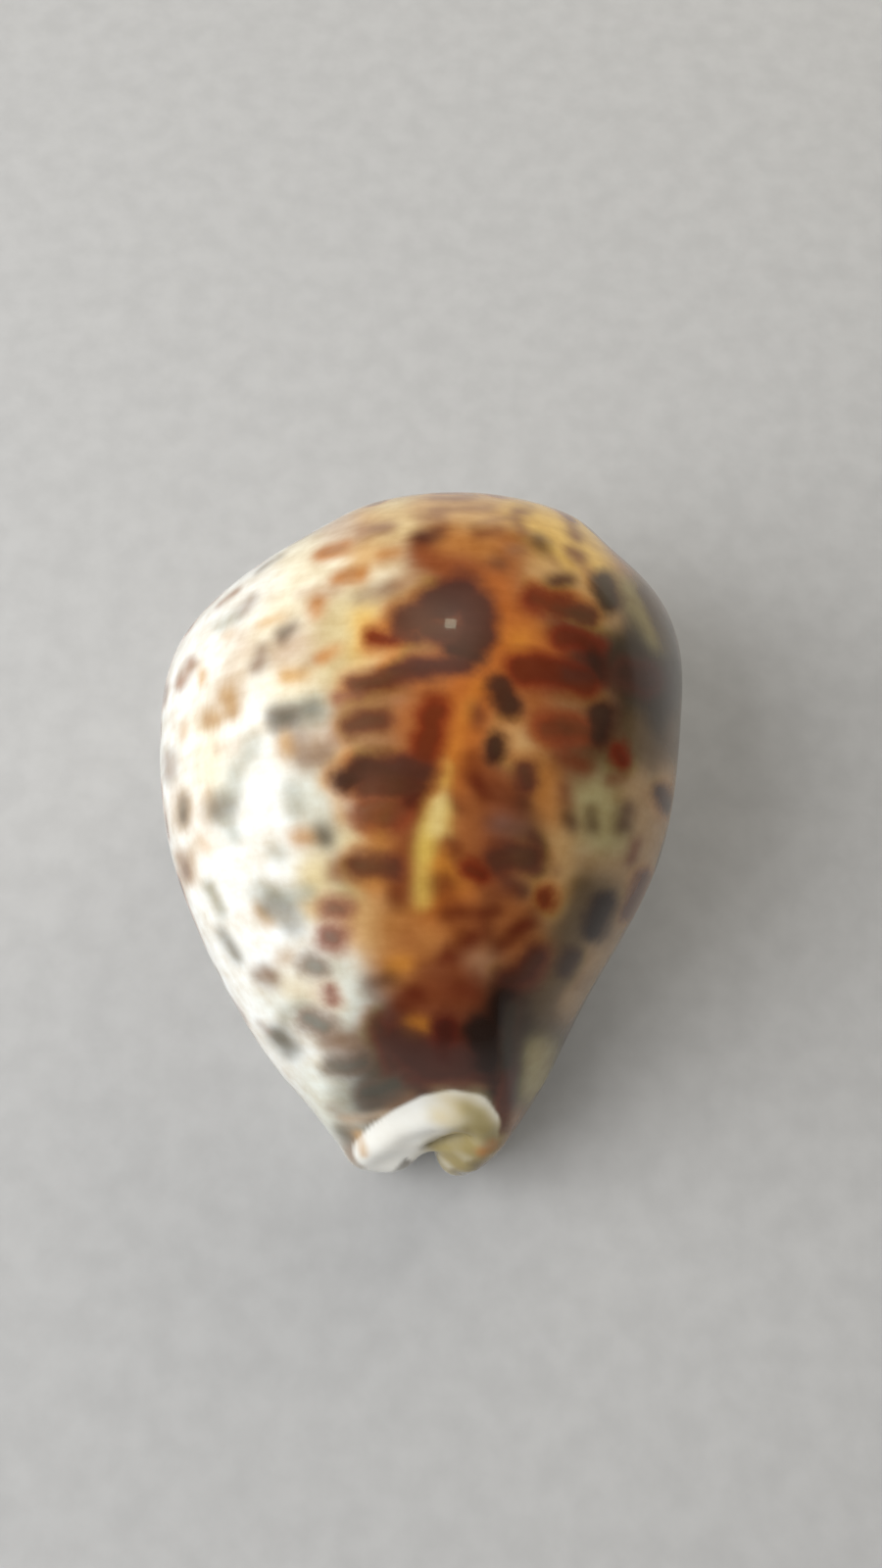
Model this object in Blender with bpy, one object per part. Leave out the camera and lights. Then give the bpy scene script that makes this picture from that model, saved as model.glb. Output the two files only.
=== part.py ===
"""A tiger cowrie: one hollow shell that rests on its base, with a toothed slit along it.

Metres, +Z up. The narrow front end with the canal points to -Y, the wide rear end to +Y, and the
outer lip is on the -X side. The origin is on the base, under the middle of the shell.
"""
import math
from collections import namedtuple

import bmesh
import bpy
import numpy as np

MM = 0.001

# Driving sizes, in millimetres
LENGTH = 76.0
WIDTH = 59.0
HEIGHT = 44.5
WALL = 2.7
TEETH_PER_LIP = 24
TOOTH_HEIGHT = 0.55
TOOTH_ROOM = (-29.0, 29.5)
# How narrow a tooth's crest is, and the share of its height that lies below the lip's own surface
TOOTH_SHARPNESS = 1.2
TOOTH_SUNK = 0.3
SLIT_HALF_GAP = 2.9
FACET = 2.9
LIP_FACET = 0.55
# How much closer the facets are around the front notch
FRONT_DETAIL = 1.4

# Colour of the shell's middle, and its gloss
SHELL_COLOUR = (0.60, 0.40, 0.22, 1.0)
SHELL_ROUGHNESS = 0.18

# The cage, in millimetres, before it is fitted to the driving sizes.
# Highest point of the dome
APEX = np.array((2.9, 3.5, HEIGHT))
# The widest line of the shell on its two sides, from front to rear
SIDE_Y = (-28.5, -18.5, -6.0, 7.0, 18.5, 26.5)
RIGHT_X = (16.4, 20.1, 27.1, 27.9, 30.4, 27.8)
LEFT_X = (14.3, 21.3, 27.8, 29.8, 30.4, 21.4)
SIDE_Z = (11.0, 13.5, 15.0, 15.8, 16.6, 17.4)
# Middle line of the slit, which bends to the right at the rear
SLIT_Y = (-40.0, -28.0, -14.0, 0.0, 14.0, 26.0, 34.0, 40.0)
SLIT_X = (3.0, 2.4, 1.6, 1.4, 2.0, 4.0, 6.2, 8.0)
# How the slit's gap changes from front to rear
GAP_Y = (-38.0, -14.0, 14.0, 38.0)
GAP_SHARE = (1.15, 1.05, 0.92, 0.78)

# An arch closes a ring at one end: its half width, the height of its crown and of its feet, how far
# along the shell its crown and its sides lie, how far its crown leans to the right, and its cleft: 0
# is a round arch, 1 a narrow notch between two lobes.
Arch = namedtuple("Arch", "half top foot crown_y tip_y lean cleft")
# A ring of the cage: its front arch, how far it lies from the slit to the widest line, its height
# along the sides (None keeps the widest line's own height), its rear arch, and how much of the
# slit's bend its rear arch follows.
Ring = namedtuple("Ring", "front share level rear bend")

OUTER_RINGS = (
    Ring(Arch(11.8, 14.2, 11.0, -34.2, -33.4, 3.0, 0.0), 1.00, None,
         Arch(16.5, 20.0, 18.0, 37.4, 33.4, 0.0, 0.0), 0.91),
    Ring(Arch(10.2, 13.0, 5.0, -35.9, -36.0, 3.0, 0.1), 0.96, 6.0,
         Arch(12.4, 15.0, 6.4, 37.8, 35.0, 0.0, 0.0), 0.87),
    Ring(Arch(8.4, 11.4, 0.0, -36.0, -37.9, 2.0, 0.6), 0.76, 0.35,
         Arch(8.6, 11.4, 1.6, 38.0, 36.2, 0.0, 0.0), 0.94),
    Ring(Arch(5.8, 9.6, -1.2, -35.0, -39.4, 1.2, 1.0), 0.42, -0.25,
         Arch(5.0, 9.2, 0.4, 37.6, 36.4, 0.0, 0.0), 1.0),
    Ring(Arch(3.1, 8.0, -0.8, -34.0, -38.6, 0.9, 0.9), 0.20, 0.0,
         Arch(3.4, 8.0, 0.5, 36.8, 35.8, 0.0, 0.0), 1.0),
)
LIP_RINGS = (
    Ring(Arch(1.8, 7.0, 1.8, -33.2, -36.6, 0.7, 0.6), 0.0, 1.7,
         Arch(2.2, 7.4, 2.0, 35.6, 34.6, 0.0, 0.0), 1.0),
    Ring(Arch(2.0, 7.6, 4.6, -31.8, -34.2, 0.3, 0.0), 0.0, 4.6,
         Arch(2.0, 8.0, 4.6, 33.6, 32.8, 0.0, 0.0), 1.0),
)
# Rings before and after the lip's middle line between which the teeth rise and fall
TOOTH_RISE = (-1.35, -0.5)
TOOTH_FALL = (0.5, 1.2)
# The chamber behind the lips: how far each ring lies from the slit to the chamber's wall, its height
CHAMBER_RINGS = ((0.10, 6.6), (0.45, 7.4), (0.84, 9.6))
# How much thicker than the dome the shell is along its widest line
CALLUS = 1.35

# Rows of the dome, from the top to the widest line, and its reach near the top
DOME_ROWS = 6
DOME_REACH = np.array((30.0, 33.5))
# Fullness of the dome: 2 is an ellipse, more is boxier
FULLNESS_SIDE = 2.08
FULLNESS_REAR = 2.20
FULLNESS_FRONT = 1.45

# Half the run of rings over which the surface's slope is measured
NORMAL_STEP = 0.02

# Low relief on the outside: a path in millimetres, how wide it is, and how far it stands out
Relief = namedtuple("Relief", "path width height")
RELIEFS = (
    # the rolled collar over the front notch, which curls back into the right lobe
    Relief(((-4.2, -37.2, 6.0), (-2.4, -35.6, 10.2), (0.5, -33.6, 13.8), (3.6, -32.6, 15.6),
            (6.8, -32.2, 15.8), (9.0, -33.0, 14.4), (9.4, -34.6, 12.0), (8.2, -36.4, 9.6)), 2.0, 0.9),
    # the crease under the collar's curl
    Relief(((4.2, -35.6, 11.8), (5.6, -34.9, 12.8), (7.4, -34.2, 13.4)), 0.9, -1.1),
    # the covered spire over the rear notch, with its pit
    Relief(((8.6, 36.6, 16.0), (9.6, 36.2, 16.6)), 3.4, 1.0),
    Relief(((8.9, 36.6, 16.2), (9.3, 36.4, 16.4)), 1.3, -1.0),
)


# Rows of facets: how many rings down each lies on the outside, and from the lip over it and inside
OUTSIDE_ROWS = (0.45, 1.0, 1.6, 2.2, 2.8, 3.4, 4.0, 4.5, 5.0, 5.4, 5.8, 6.2, 6.6, 7.0, 7.4, 7.8, 8.2,
                8.7, 9.2, 9.6)
LIP_ROWS = (-1.0, -0.62, -0.3, 0.0, 0.4, 0.8)
INSIDE_ROWS = (1.4, 2.1, 2.9, 3.6, 4.4, 5.3, 6.2, 7.1, 8.0)


def clear_scene():
    for item in list(bpy.data.objects):
        bpy.data.objects.remove(item, do_unlink=True)


def smooth_step(low, high, value):
    part = np.clip((value - low) / (high - low), 0.0, 1.0)
    return part * part * (3.0 - 2.0 * part)


def slit_x(y):
    return float(np.interp(y, SLIT_Y, SLIT_X))


def slit_gap(y):
    return SLIT_HALF_GAP * float(np.interp(y, GAP_Y, GAP_SHARE))


def arch_points(arch, side, inward, bend):
    """Half an end arch, from its crown out and down to its foot."""
    shoulder = 0.62 - 0.27 * arch.cleft
    shoulder_y = arch.crown_y + (0.4 + 0.5 * arch.cleft) * (arch.tip_y - arch.crown_y)
    rise = arch.top - arch.foot
    points = (
        (side * arch.lean, arch.crown_y, arch.top),
        (shoulder * arch.half + 0.7 * side * arch.lean, shoulder_y, arch.top - 0.10 * rise),
        ((0.90 - 0.04 * side) * arch.half, arch.tip_y, arch.foot + 0.5 * rise),
        ((1.06 - 0.02 * side) * arch.half, arch.tip_y + inward * (2.6 + 0.3 * side), arch.foot),
    )
    return [(bend * slit_x(y) + side * across, y, z) for across, y, z in points]


def ring_half(ring, side):
    """One side of a ring, from the front crown to the rear crown."""
    points = arch_points(ring.front, side, 1.0, 1.0)
    reach = RIGHT_X if side > 0 else LEFT_X
    for y, widest, height in zip(SIDE_Y, reach, SIDE_Z):
        gap = slit_gap(y)
        full = widest - side * slit_x(y)
        across = gap + ring.share * (full - gap)
        points.append((slit_x(y) + side * across, y, height if ring.level is None else ring.level))
    return points + arch_points(ring.rear, side, -1.0, ring.bend)[::-1]


def ring_loop(ring):
    """A whole ring: forward crown, right side, rear crown, left side."""
    return np.array(ring_half(ring, 1.0) + ring_half(ring, -1.0)[-2:0:-1])


def dome_rings(widest):
    """Rings of the dome, from the one below its top to the one above the widest line."""
    spread = widest[:, :2] - APEX[:2]
    angle = np.arctan2(spread[:, 1], spread[:, 0])
    rearward = np.sin(angle)
    fullness = FULLNESS_SIDE + (FULLNESS_REAR - FULLNESS_SIDE) * np.clip(rearward, 0.0, 1.0) ** 2
    fullness += (FULLNESS_FRONT - FULLNESS_SIDE) * np.clip(-rearward, 0.0, 1.0) ** 2
    even = np.stack((DOME_REACH[0] * np.cos(angle), DOME_REACH[1] * np.sin(angle)), 1)
    rings = []
    for row in range(1, DOME_ROWS):
        turn = 0.5 * math.pi * row / DOME_ROWS
        power = 2.0 / (2.0 + (fullness - 2.0) * smooth_step(0.0, 2.0, row))
        out = math.sin(turn) ** power
        up = math.cos(turn) ** power
        blend = (row / DOME_ROWS) ** 2
        ring = widest.copy()
        ring[:, :2] = APEX[:2] + out[:, None] * ((1.0 - blend) * even + blend * spread)
        low = (1.0 - blend) * widest[:, 2].mean() + blend * widest[:, 2]
        ring[:, 2] = low + (APEX[2] - low) * up
        if row == 1:
            ring[:, 2] = ring[:, 2].mean()
        rings.append(ring)
    return rings


def chamber_rings(dome, widest, throat):
    """Rings from the throat behind the lips, out to the chamber's wall and up to its roof."""
    half_size = np.array((0.5 * WIDTH, 0.5 * LENGTH, HEIGHT))
    wall = widest * (1.0 - CALLUS * WALL / half_size)
    wall[:, 2] = widest[:, 2]
    rings = []
    for share, height in CHAMBER_RINGS:
        ring = throat + share * (wall - throat)
        ring[:, 2] = height
        rings.append(ring)
    inward = 1.0 - WALL / half_size
    return rings + [wall] + [ring * inward for ring in dome[::-1]], APEX * inward


def mirrored_row(ring, pole):
    """The row beyond a pole, which keeps the surface smooth over it."""
    beyond = ring.copy()
    beyond[:, :2] = 2.0 * pole[:2] - ring[:, :2]
    return beyond


def build_cage():
    """All rows of the cage, from beyond the top to beyond the chamber's roof."""
    outer = [ring_loop(ring) for ring in OUTER_RINGS]
    lips = [ring_loop(ring) for ring in LIP_RINGS]
    dome = dome_rings(outer[0])
    chamber, roof = chamber_rings(dome, outer[0], lips[-1])
    rows = dome + outer + lips + chamber
    columns = len(outer[0])
    top_row = np.tile(APEX, (columns, 1))
    roof_row = np.tile(roof, (columns, 1))
    rows = [mirrored_row(rows[0], APEX), top_row] + rows + [roof_row, mirrored_row(rows[-1], roof)]
    return np.array(rows)


def spline_weights(part):
    """Weights of the four cage points around a place on a uniform cubic B-spline."""
    rest = 1.0 - part
    return np.stack((
        rest ** 3,
        3.0 * part ** 3 - 6.0 * part ** 2 + 4.0,
        3.0 * rest ** 3 - 6.0 * rest ** 2 + 4.0,
        part ** 3,
    ), -1) / 6.0


def path_distance(points, path):
    """How far each point is from a path of straight runs."""
    nearest = np.full(points.shape[:-1], np.inf)
    for start, end in zip(path, path[1:]):
        run = end - start
        share = np.clip((points - start) @ run / (run @ run), 0.0, 1.0)
        nearest = np.minimum(nearest, np.linalg.norm(points - start - share[..., None] * run, axis=-1))
    return nearest


class Surface:
    """The smooth surface that the cage describes.

    down runs from 0 at the top, over the widest line and the lips, to the chamber's roof. around
    runs from 0 at the front crown over the right side to 1 at the front crown again.
    """

    def __init__(self):
        self.cage = build_cage()
        self.last = len(self.cage) - 3.0
        self.columns = self.cage.shape[1]
        self.lip = 1.0 + (DOME_ROWS - 1) + len(OUTER_RINGS)
        self.scale = np.ones(3)
        self.shift = np.zeros(3)
        self.fit_to_size()

    def raw(self, down, around):
        row = np.clip(np.floor(down).astype(int), 0, int(self.last) - 1)
        place = np.mod(around, 1.0) * self.columns
        column = np.floor(place).astype(int)
        row_weights = spline_weights(down - row)
        column_weights = spline_weights(place - column)
        total = np.zeros(down.shape + (3,))
        for i in range(4):
            for j in range(4):
                weight = row_weights[..., i] * column_weights[..., j]
                total += weight[..., None] * self.cage[row + i, (column + j - 1) % self.columns]
        return total

    def fit_to_size(self):
        """Scale and place the cage so that the finished shell has the driving sizes."""
        rows, places = np.linspace(0.0, self.lip, 120), np.arange(400) / 400.0
        down, around = np.meshgrid(rows, places, indexing="ij")
        size = np.array((WIDTH, LENGTH, HEIGHT))
        for _ in range(3):
            points = self.at(down, around).reshape(-1, 3)
            low, high = points.min(0), points.max(0)
            ratio = size / (high - low)
            middle = 0.5 * (low + high) * (1.0, 1.0, 0.0)
            self.scale = self.scale * ratio
            self.shift = (self.shift - middle) * ratio

    def plain(self, down, around):
        """A point before the teeth and the worn base."""
        return self.raw(down, around) * self.scale + self.shift

    def normal(self, down, around):
        above = np.maximum(down - NORMAL_STEP, 0.0)
        below = np.minimum(down + NORMAL_STEP, self.last)
        turn = NORMAL_STEP / self.columns
        along_down = self.plain(below, around) - self.plain(above, around)
        along_around = self.plain(down, around + turn) - self.plain(down, around - turn)
        normal = np.cross(along_down, along_around)
        return normal / np.maximum(np.linalg.norm(normal, axis=-1, keepdims=True), 1e-9)

    def tooth(self, down, y):
        """Height of the teeth: 0 away from the lips."""
        low, high = TOOTH_ROOM
        phase = (y - low) / (high - low) * TEETH_PER_LIP
        ridge = (0.5 + 0.5 * np.cos(2.0 * math.pi * phase)) ** TOOTH_SHARPNESS
        ends = smooth_step(low - 1.0, low + 1.5, y) * (1.0 - smooth_step(high - 1.5, high + 1.0, y))
        rise = smooth_step(*TOOTH_RISE, down - self.lip)
        fall = 1.0 - smooth_step(*TOOTH_FALL, down - self.lip)
        return TOOTH_HEIGHT * (ridge - TOOTH_SUNK) * ends * rise * fall

    def at(self, down, around):
        points = self.plain(down, around)
        lift = self.tooth(down, points[..., 1])
        outside = 1.0 - smooth_step(self.lip - 0.6, self.lip + 0.2, down)
        for relief in RELIEFS:
            near = path_distance(points, np.array(relief.path)) / relief.width
            lift = lift + outside * relief.height * np.exp(-near ** 2)
        points = points + self.normal(down, around) * lift[..., None]
        points[..., 2] = np.maximum(points[..., 2], 0.0)
        return points


def even_places(surface, down, count):
    """Places around one row, evenly spaced but closer together at the front, and its length."""
    around = np.linspace(0.0, 1.0, 1601)
    points = surface.plain(np.full(around.shape, down), around)
    steps = np.linalg.norm(np.diff(points, axis=0), axis=1)
    closeness = 1.0 + FRONT_DETAIL * (1.0 - smooth_step(-34.0, -26.0, points[:-1, 1]))
    length = np.concatenate(([0.0], np.cumsum(steps * closeness)))
    places = np.interp(np.arange(count) / count * length[-1], length, around)
    return places, length[-1]


def row_plan(surface):
    """The rows of the mesh: how far down each lies, and its places around."""
    lip = surface.lip
    steps = list(OUTSIDE_ROWS) + [lip + step for step in LIP_ROWS + INSIDE_ROWS]
    _, lip_length = even_places(surface, lip, 8)
    lip_places, _ = even_places(surface, lip, int(round(lip_length / LIP_FACET)))
    rows = []
    for down in steps:
        if abs(down - lip + 0.1) < 1.0:
            rows.append((down, lip_places))
            continue
        _, length = even_places(surface, down, 8)
        facet = FACET if down < lip else 1.5 * FACET
        count = max(12, int(round(length / facet)))
        if 0.9 < abs(down - lip) < 1.5:
            count = len(lip_places) // 2
        rows.append((down, even_places(surface, down, count)[0]))
    return rows


def join_rows(mesh, upper, lower):
    """Triangles between two closed rows, given as (place, vertex) lists in order around."""
    i, j = 0, 0
    while i < len(upper) or j < len(lower):
        here_up, here_low = upper[i % len(upper)][1], lower[j % len(lower)][1]
        next_up = upper[i + 1][0] if i + 1 < len(upper) else 1.0 + upper[0][0]
        next_low = lower[j + 1][0] if j + 1 < len(lower) else 1.0 + lower[0][0]
        if j >= len(lower) or (i < len(upper) and next_up <= next_low):
            i += 1
            mesh.faces.new((here_up, here_low, upper[i % len(upper)][1]))
        else:
            j += 1
            mesh.faces.new((here_up, here_low, lower[j % len(lower)][1]))


def add_fan(mesh, pole, row, outward):
    for (_, first), (_, second) in zip(row, row[1:] + row[:1]):
        mesh.faces.new((pole, first, second) if outward else (pole, second, first))


def build_shell():
    surface = Surface()
    mesh = bmesh.new()
    rows = []
    for down, places in row_plan(surface):
        points = surface.at(np.full(places.shape, down), places)
        rows.append([(place, mesh.verts.new(point * MM)) for place, point in zip(places, points)])
    for upper, lower in zip(rows, rows[1:]):
        join_rows(mesh, upper, lower)
    zero = np.array(0.0)
    top = mesh.verts.new(surface.at(zero, zero) * MM)
    roof = mesh.verts.new(surface.at(np.array(surface.last), zero) * MM)
    add_fan(mesh, top, rows[0], True)
    add_fan(mesh, roof, rows[-1], False)
    bmesh.ops.recalc_face_normals(mesh, faces=mesh.faces)
    data = bpy.data.meshes.new("shell")
    mesh.to_mesh(data)
    mesh.free()
    data.shade_smooth()
    return data


def shell_material():
    material = bpy.data.materials.new("glossy_shell")
    material.use_nodes = True
    shader = material.node_tree.nodes["Principled BSDF"]
    shader.inputs["Base Color"].default_value = SHELL_COLOUR
    shader.inputs["Roughness"].default_value = SHELL_ROUGHNESS
    shader.inputs["Metallic"].default_value = 0.0
    return material


def main():
    clear_scene()
    data = build_shell()
    data.materials.append(shell_material())
    shell = bpy.data.objects.new("shell", data)
    bpy.context.scene.collection.objects.link(shell)
    print("shell triangles", len(data.polygons))


main()
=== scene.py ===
"""A glossy tiger cowrie lying on a pale floor, in metres, +Z up.

The shell's dense mesh comes from the same named sizes as its solid. Its markings are placed
as the photograph shows them, in the pixels of its 900 x 1600 frame, and carried onto the surface.
"""
import math
from collections import namedtuple

import bpy
import numpy as np
from mathutils import Matrix, Vector


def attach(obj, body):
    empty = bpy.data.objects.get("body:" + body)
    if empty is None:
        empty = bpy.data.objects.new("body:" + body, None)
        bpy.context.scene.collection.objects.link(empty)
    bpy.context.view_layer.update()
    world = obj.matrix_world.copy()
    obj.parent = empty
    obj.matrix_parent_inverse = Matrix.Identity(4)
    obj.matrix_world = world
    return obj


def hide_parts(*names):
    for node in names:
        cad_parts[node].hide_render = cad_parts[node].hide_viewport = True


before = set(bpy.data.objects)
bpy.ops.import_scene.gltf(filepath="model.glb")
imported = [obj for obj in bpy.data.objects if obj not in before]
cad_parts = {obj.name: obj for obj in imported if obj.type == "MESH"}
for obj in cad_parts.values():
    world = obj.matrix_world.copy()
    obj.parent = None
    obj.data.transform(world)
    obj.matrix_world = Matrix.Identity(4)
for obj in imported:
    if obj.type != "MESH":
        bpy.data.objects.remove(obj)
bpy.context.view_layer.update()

MM = 0.001

# Driving sizes, in millimetres
LENGTH = 76.0
WIDTH = 59.0
HEIGHT = 44.5
WALL = 2.7
TEETH_PER_LIP = 24
TOOTH_HEIGHT = 0.55
TOOTH_ROOM = (-29.0, 29.5)
# How narrow a tooth's crest is, and the share of its height that lies below the lip's own surface
TOOTH_SHARPNESS = 1.2
TOOTH_SUNK = 0.3
SLIT_HALF_GAP = 2.9

# The cage, in millimetres, before it is fitted to the driving sizes.
# Highest point of the dome
APEX = np.array((2.9, 3.5, HEIGHT))
# The widest line of the shell on its two sides, from front to rear
SIDE_Y = (-28.5, -18.5, -6.0, 7.0, 18.5, 26.5)
RIGHT_X = (16.4, 20.1, 27.1, 27.9, 30.4, 27.8)
LEFT_X = (14.3, 21.3, 27.8, 29.8, 30.4, 21.4)
SIDE_Z = (11.0, 13.5, 15.0, 15.8, 16.6, 17.4)
# Middle line of the slit, which bends to the right at the rear
SLIT_Y = (-40.0, -28.0, -14.0, 0.0, 14.0, 26.0, 34.0, 40.0)
SLIT_X = (3.0, 2.4, 1.6, 1.4, 2.0, 4.0, 6.2, 8.0)
# How the slit's gap changes from front to rear
GAP_Y = (-38.0, -14.0, 14.0, 38.0)
GAP_SHARE = (1.15, 1.05, 0.92, 0.78)

# An arch closes a ring at one end: its half width, the height of its crown and of its feet, how far
# along the shell its crown and its sides lie, how far its crown leans to the right, and its cleft: 0
# is a round arch, 1 a narrow notch between two lobes.
Arch = namedtuple("Arch", "half top foot crown_y tip_y lean cleft")
# A ring of the cage: its front arch, how far it lies from the slit to the widest line, its height
# along the sides (None keeps the widest line's own height), its rear arch, and how much of the
# slit's bend its rear arch follows.
Ring = namedtuple("Ring", "front share level rear bend")

OUTER_RINGS = (
    Ring(Arch(11.8, 14.2, 11.0, -34.2, -33.4, 3.0, 0.0), 1.00, None,
         Arch(16.5, 20.0, 18.0, 37.4, 33.4, 0.0, 0.0), 0.91),
    Ring(Arch(10.2, 13.0, 5.0, -35.9, -36.0, 3.0, 0.1), 0.96, 6.0,
         Arch(12.4, 15.0, 6.4, 37.8, 35.0, 0.0, 0.0), 0.87),
    Ring(Arch(8.4, 11.4, 0.0, -36.0, -37.9, 2.0, 0.6), 0.76, 0.35,
         Arch(8.6, 11.4, 1.6, 38.0, 36.2, 0.0, 0.0), 0.94),
    Ring(Arch(5.8, 9.6, -1.2, -35.0, -39.4, 1.2, 1.0), 0.42, -0.25,
         Arch(5.0, 9.2, 0.4, 37.6, 36.4, 0.0, 0.0), 1.0),
    Ring(Arch(3.1, 8.0, -0.8, -34.0, -38.6, 0.9, 0.9), 0.20, 0.0,
         Arch(3.4, 8.0, 0.5, 36.8, 35.8, 0.0, 0.0), 1.0),
)
LIP_RINGS = (
    Ring(Arch(1.8, 7.0, 1.8, -33.2, -36.6, 0.7, 0.6), 0.0, 1.7,
         Arch(2.2, 7.4, 2.0, 35.6, 34.6, 0.0, 0.0), 1.0),
    Ring(Arch(2.0, 7.6, 4.6, -31.8, -34.2, 0.3, 0.0), 0.0, 4.6,
         Arch(2.0, 8.0, 4.6, 33.6, 32.8, 0.0, 0.0), 1.0),
)
# Rings before and after the lip's middle line between which the teeth rise and fall
TOOTH_RISE = (-1.35, -0.5)
TOOTH_FALL = (0.5, 1.2)
# The chamber behind the lips: how far each ring lies from the slit to the chamber's wall, its height
CHAMBER_RINGS = ((0.10, 6.6), (0.45, 7.4), (0.84, 9.6))
# How much thicker than the dome the shell is along its widest line
CALLUS = 1.35

# Rows of the dome, from the top to the widest line, and its reach near the top
DOME_ROWS = 6
DOME_REACH = np.array((30.0, 33.5))
# Fullness of the dome: 2 is an ellipse, more is boxier
FULLNESS_SIDE = 2.08
FULLNESS_REAR = 2.20
FULLNESS_FRONT = 1.45

# Half the run of rings over which the surface's slope is measured
NORMAL_STEP = 0.02

# Low relief on the outside: a path in millimetres, how wide it is, and how far it stands out
Relief = namedtuple("Relief", "path width height")
RELIEFS = (
    # the rolled collar over the front notch, which curls back into the right lobe
    Relief(((-4.2, -37.2, 6.0), (-2.4, -35.6, 10.2), (0.5, -33.6, 13.8), (3.6, -32.6, 15.6),
            (6.8, -32.2, 15.8), (9.0, -33.0, 14.4), (9.4, -34.6, 12.0), (8.2, -36.4, 9.6)), 2.0, 0.9),
    # the crease under the collar's curl
    Relief(((4.2, -35.6, 11.8), (5.6, -34.9, 12.8), (7.4, -34.2, 13.4)), 0.9, -1.1),
    # the covered spire over the rear notch, with its pit
    Relief(((8.6, 36.6, 16.0), (9.6, 36.2, 16.6)), 3.4, 1.0),
    Relief(((8.9, 36.6, 16.2), (9.3, 36.4, 16.4)), 1.3, -1.0),
)


def smooth_step(low, high, value):
    part = np.clip((value - low) / (high - low), 0.0, 1.0)
    return part * part * (3.0 - 2.0 * part)


def slit_x(y):
    return float(np.interp(y, SLIT_Y, SLIT_X))


def slit_gap(y):
    return SLIT_HALF_GAP * float(np.interp(y, GAP_Y, GAP_SHARE))


def arch_points(arch, side, inward, bend):
    """Half an end arch, from its crown out and down to its foot."""
    shoulder = 0.62 - 0.27 * arch.cleft
    shoulder_y = arch.crown_y + (0.4 + 0.5 * arch.cleft) * (arch.tip_y - arch.crown_y)
    rise = arch.top - arch.foot
    points = (
        (side * arch.lean, arch.crown_y, arch.top),
        (shoulder * arch.half + 0.7 * side * arch.lean, shoulder_y, arch.top - 0.10 * rise),
        ((0.90 - 0.04 * side) * arch.half, arch.tip_y, arch.foot + 0.5 * rise),
        ((1.06 - 0.02 * side) * arch.half, arch.tip_y + inward * (2.6 + 0.3 * side), arch.foot),
    )
    return [(bend * slit_x(y) + side * across, y, z) for across, y, z in points]


def ring_half(ring, side):
    """One side of a ring, from the front crown to the rear crown."""
    points = arch_points(ring.front, side, 1.0, 1.0)
    reach = RIGHT_X if side > 0 else LEFT_X
    for y, widest, height in zip(SIDE_Y, reach, SIDE_Z):
        gap = slit_gap(y)
        full = widest - side * slit_x(y)
        across = gap + ring.share * (full - gap)
        points.append((slit_x(y) + side * across, y, height if ring.level is None else ring.level))
    return points + arch_points(ring.rear, side, -1.0, ring.bend)[::-1]


def ring_loop(ring):
    """A whole ring: forward crown, right side, rear crown, left side."""
    return np.array(ring_half(ring, 1.0) + ring_half(ring, -1.0)[-2:0:-1])


def dome_rings(widest):
    """Rings of the dome, from the one below its top to the one above the widest line."""
    spread = widest[:, :2] - APEX[:2]
    angle = np.arctan2(spread[:, 1], spread[:, 0])
    rearward = np.sin(angle)
    fullness = FULLNESS_SIDE + (FULLNESS_REAR - FULLNESS_SIDE) * np.clip(rearward, 0.0, 1.0) ** 2
    fullness += (FULLNESS_FRONT - FULLNESS_SIDE) * np.clip(-rearward, 0.0, 1.0) ** 2
    even = np.stack((DOME_REACH[0] * np.cos(angle), DOME_REACH[1] * np.sin(angle)), 1)
    rings = []
    for row in range(1, DOME_ROWS):
        turn = 0.5 * math.pi * row / DOME_ROWS
        power = 2.0 / (2.0 + (fullness - 2.0) * smooth_step(0.0, 2.0, row))
        out = math.sin(turn) ** power
        up = math.cos(turn) ** power
        blend = (row / DOME_ROWS) ** 2
        ring = widest.copy()
        ring[:, :2] = APEX[:2] + out[:, None] * ((1.0 - blend) * even + blend * spread)
        low = (1.0 - blend) * widest[:, 2].mean() + blend * widest[:, 2]
        ring[:, 2] = low + (APEX[2] - low) * up
        if row == 1:
            ring[:, 2] = ring[:, 2].mean()
        rings.append(ring)
    return rings


def chamber_rings(dome, widest, throat):
    """Rings from the throat behind the lips, out to the chamber's wall and up to its roof."""
    half_size = np.array((0.5 * WIDTH, 0.5 * LENGTH, HEIGHT))
    wall = widest * (1.0 - CALLUS * WALL / half_size)
    wall[:, 2] = widest[:, 2]
    rings = []
    for share, height in CHAMBER_RINGS:
        ring = throat + share * (wall - throat)
        ring[:, 2] = height
        rings.append(ring)
    inward = 1.0 - WALL / half_size
    return rings + [wall] + [ring * inward for ring in dome[::-1]], APEX * inward


def mirrored_row(ring, pole):
    """The row beyond a pole, which keeps the surface smooth over it."""
    beyond = ring.copy()
    beyond[:, :2] = 2.0 * pole[:2] - ring[:, :2]
    return beyond


def build_cage():
    """All rows of the cage, from beyond the top to beyond the chamber's roof."""
    outer = [ring_loop(ring) for ring in OUTER_RINGS]
    lips = [ring_loop(ring) for ring in LIP_RINGS]
    dome = dome_rings(outer[0])
    chamber, roof = chamber_rings(dome, outer[0], lips[-1])
    rows = dome + outer + lips + chamber
    columns = len(outer[0])
    top_row = np.tile(APEX, (columns, 1))
    roof_row = np.tile(roof, (columns, 1))
    rows = [mirrored_row(rows[0], APEX), top_row] + rows + [roof_row, mirrored_row(rows[-1], roof)]
    return np.array(rows)


def spline_weights(part):
    """Weights of the four cage points around a place on a uniform cubic B-spline."""
    rest = 1.0 - part
    return np.stack((
        rest ** 3,
        3.0 * part ** 3 - 6.0 * part ** 2 + 4.0,
        3.0 * rest ** 3 - 6.0 * rest ** 2 + 4.0,
        part ** 3,
    ), -1) / 6.0


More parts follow.
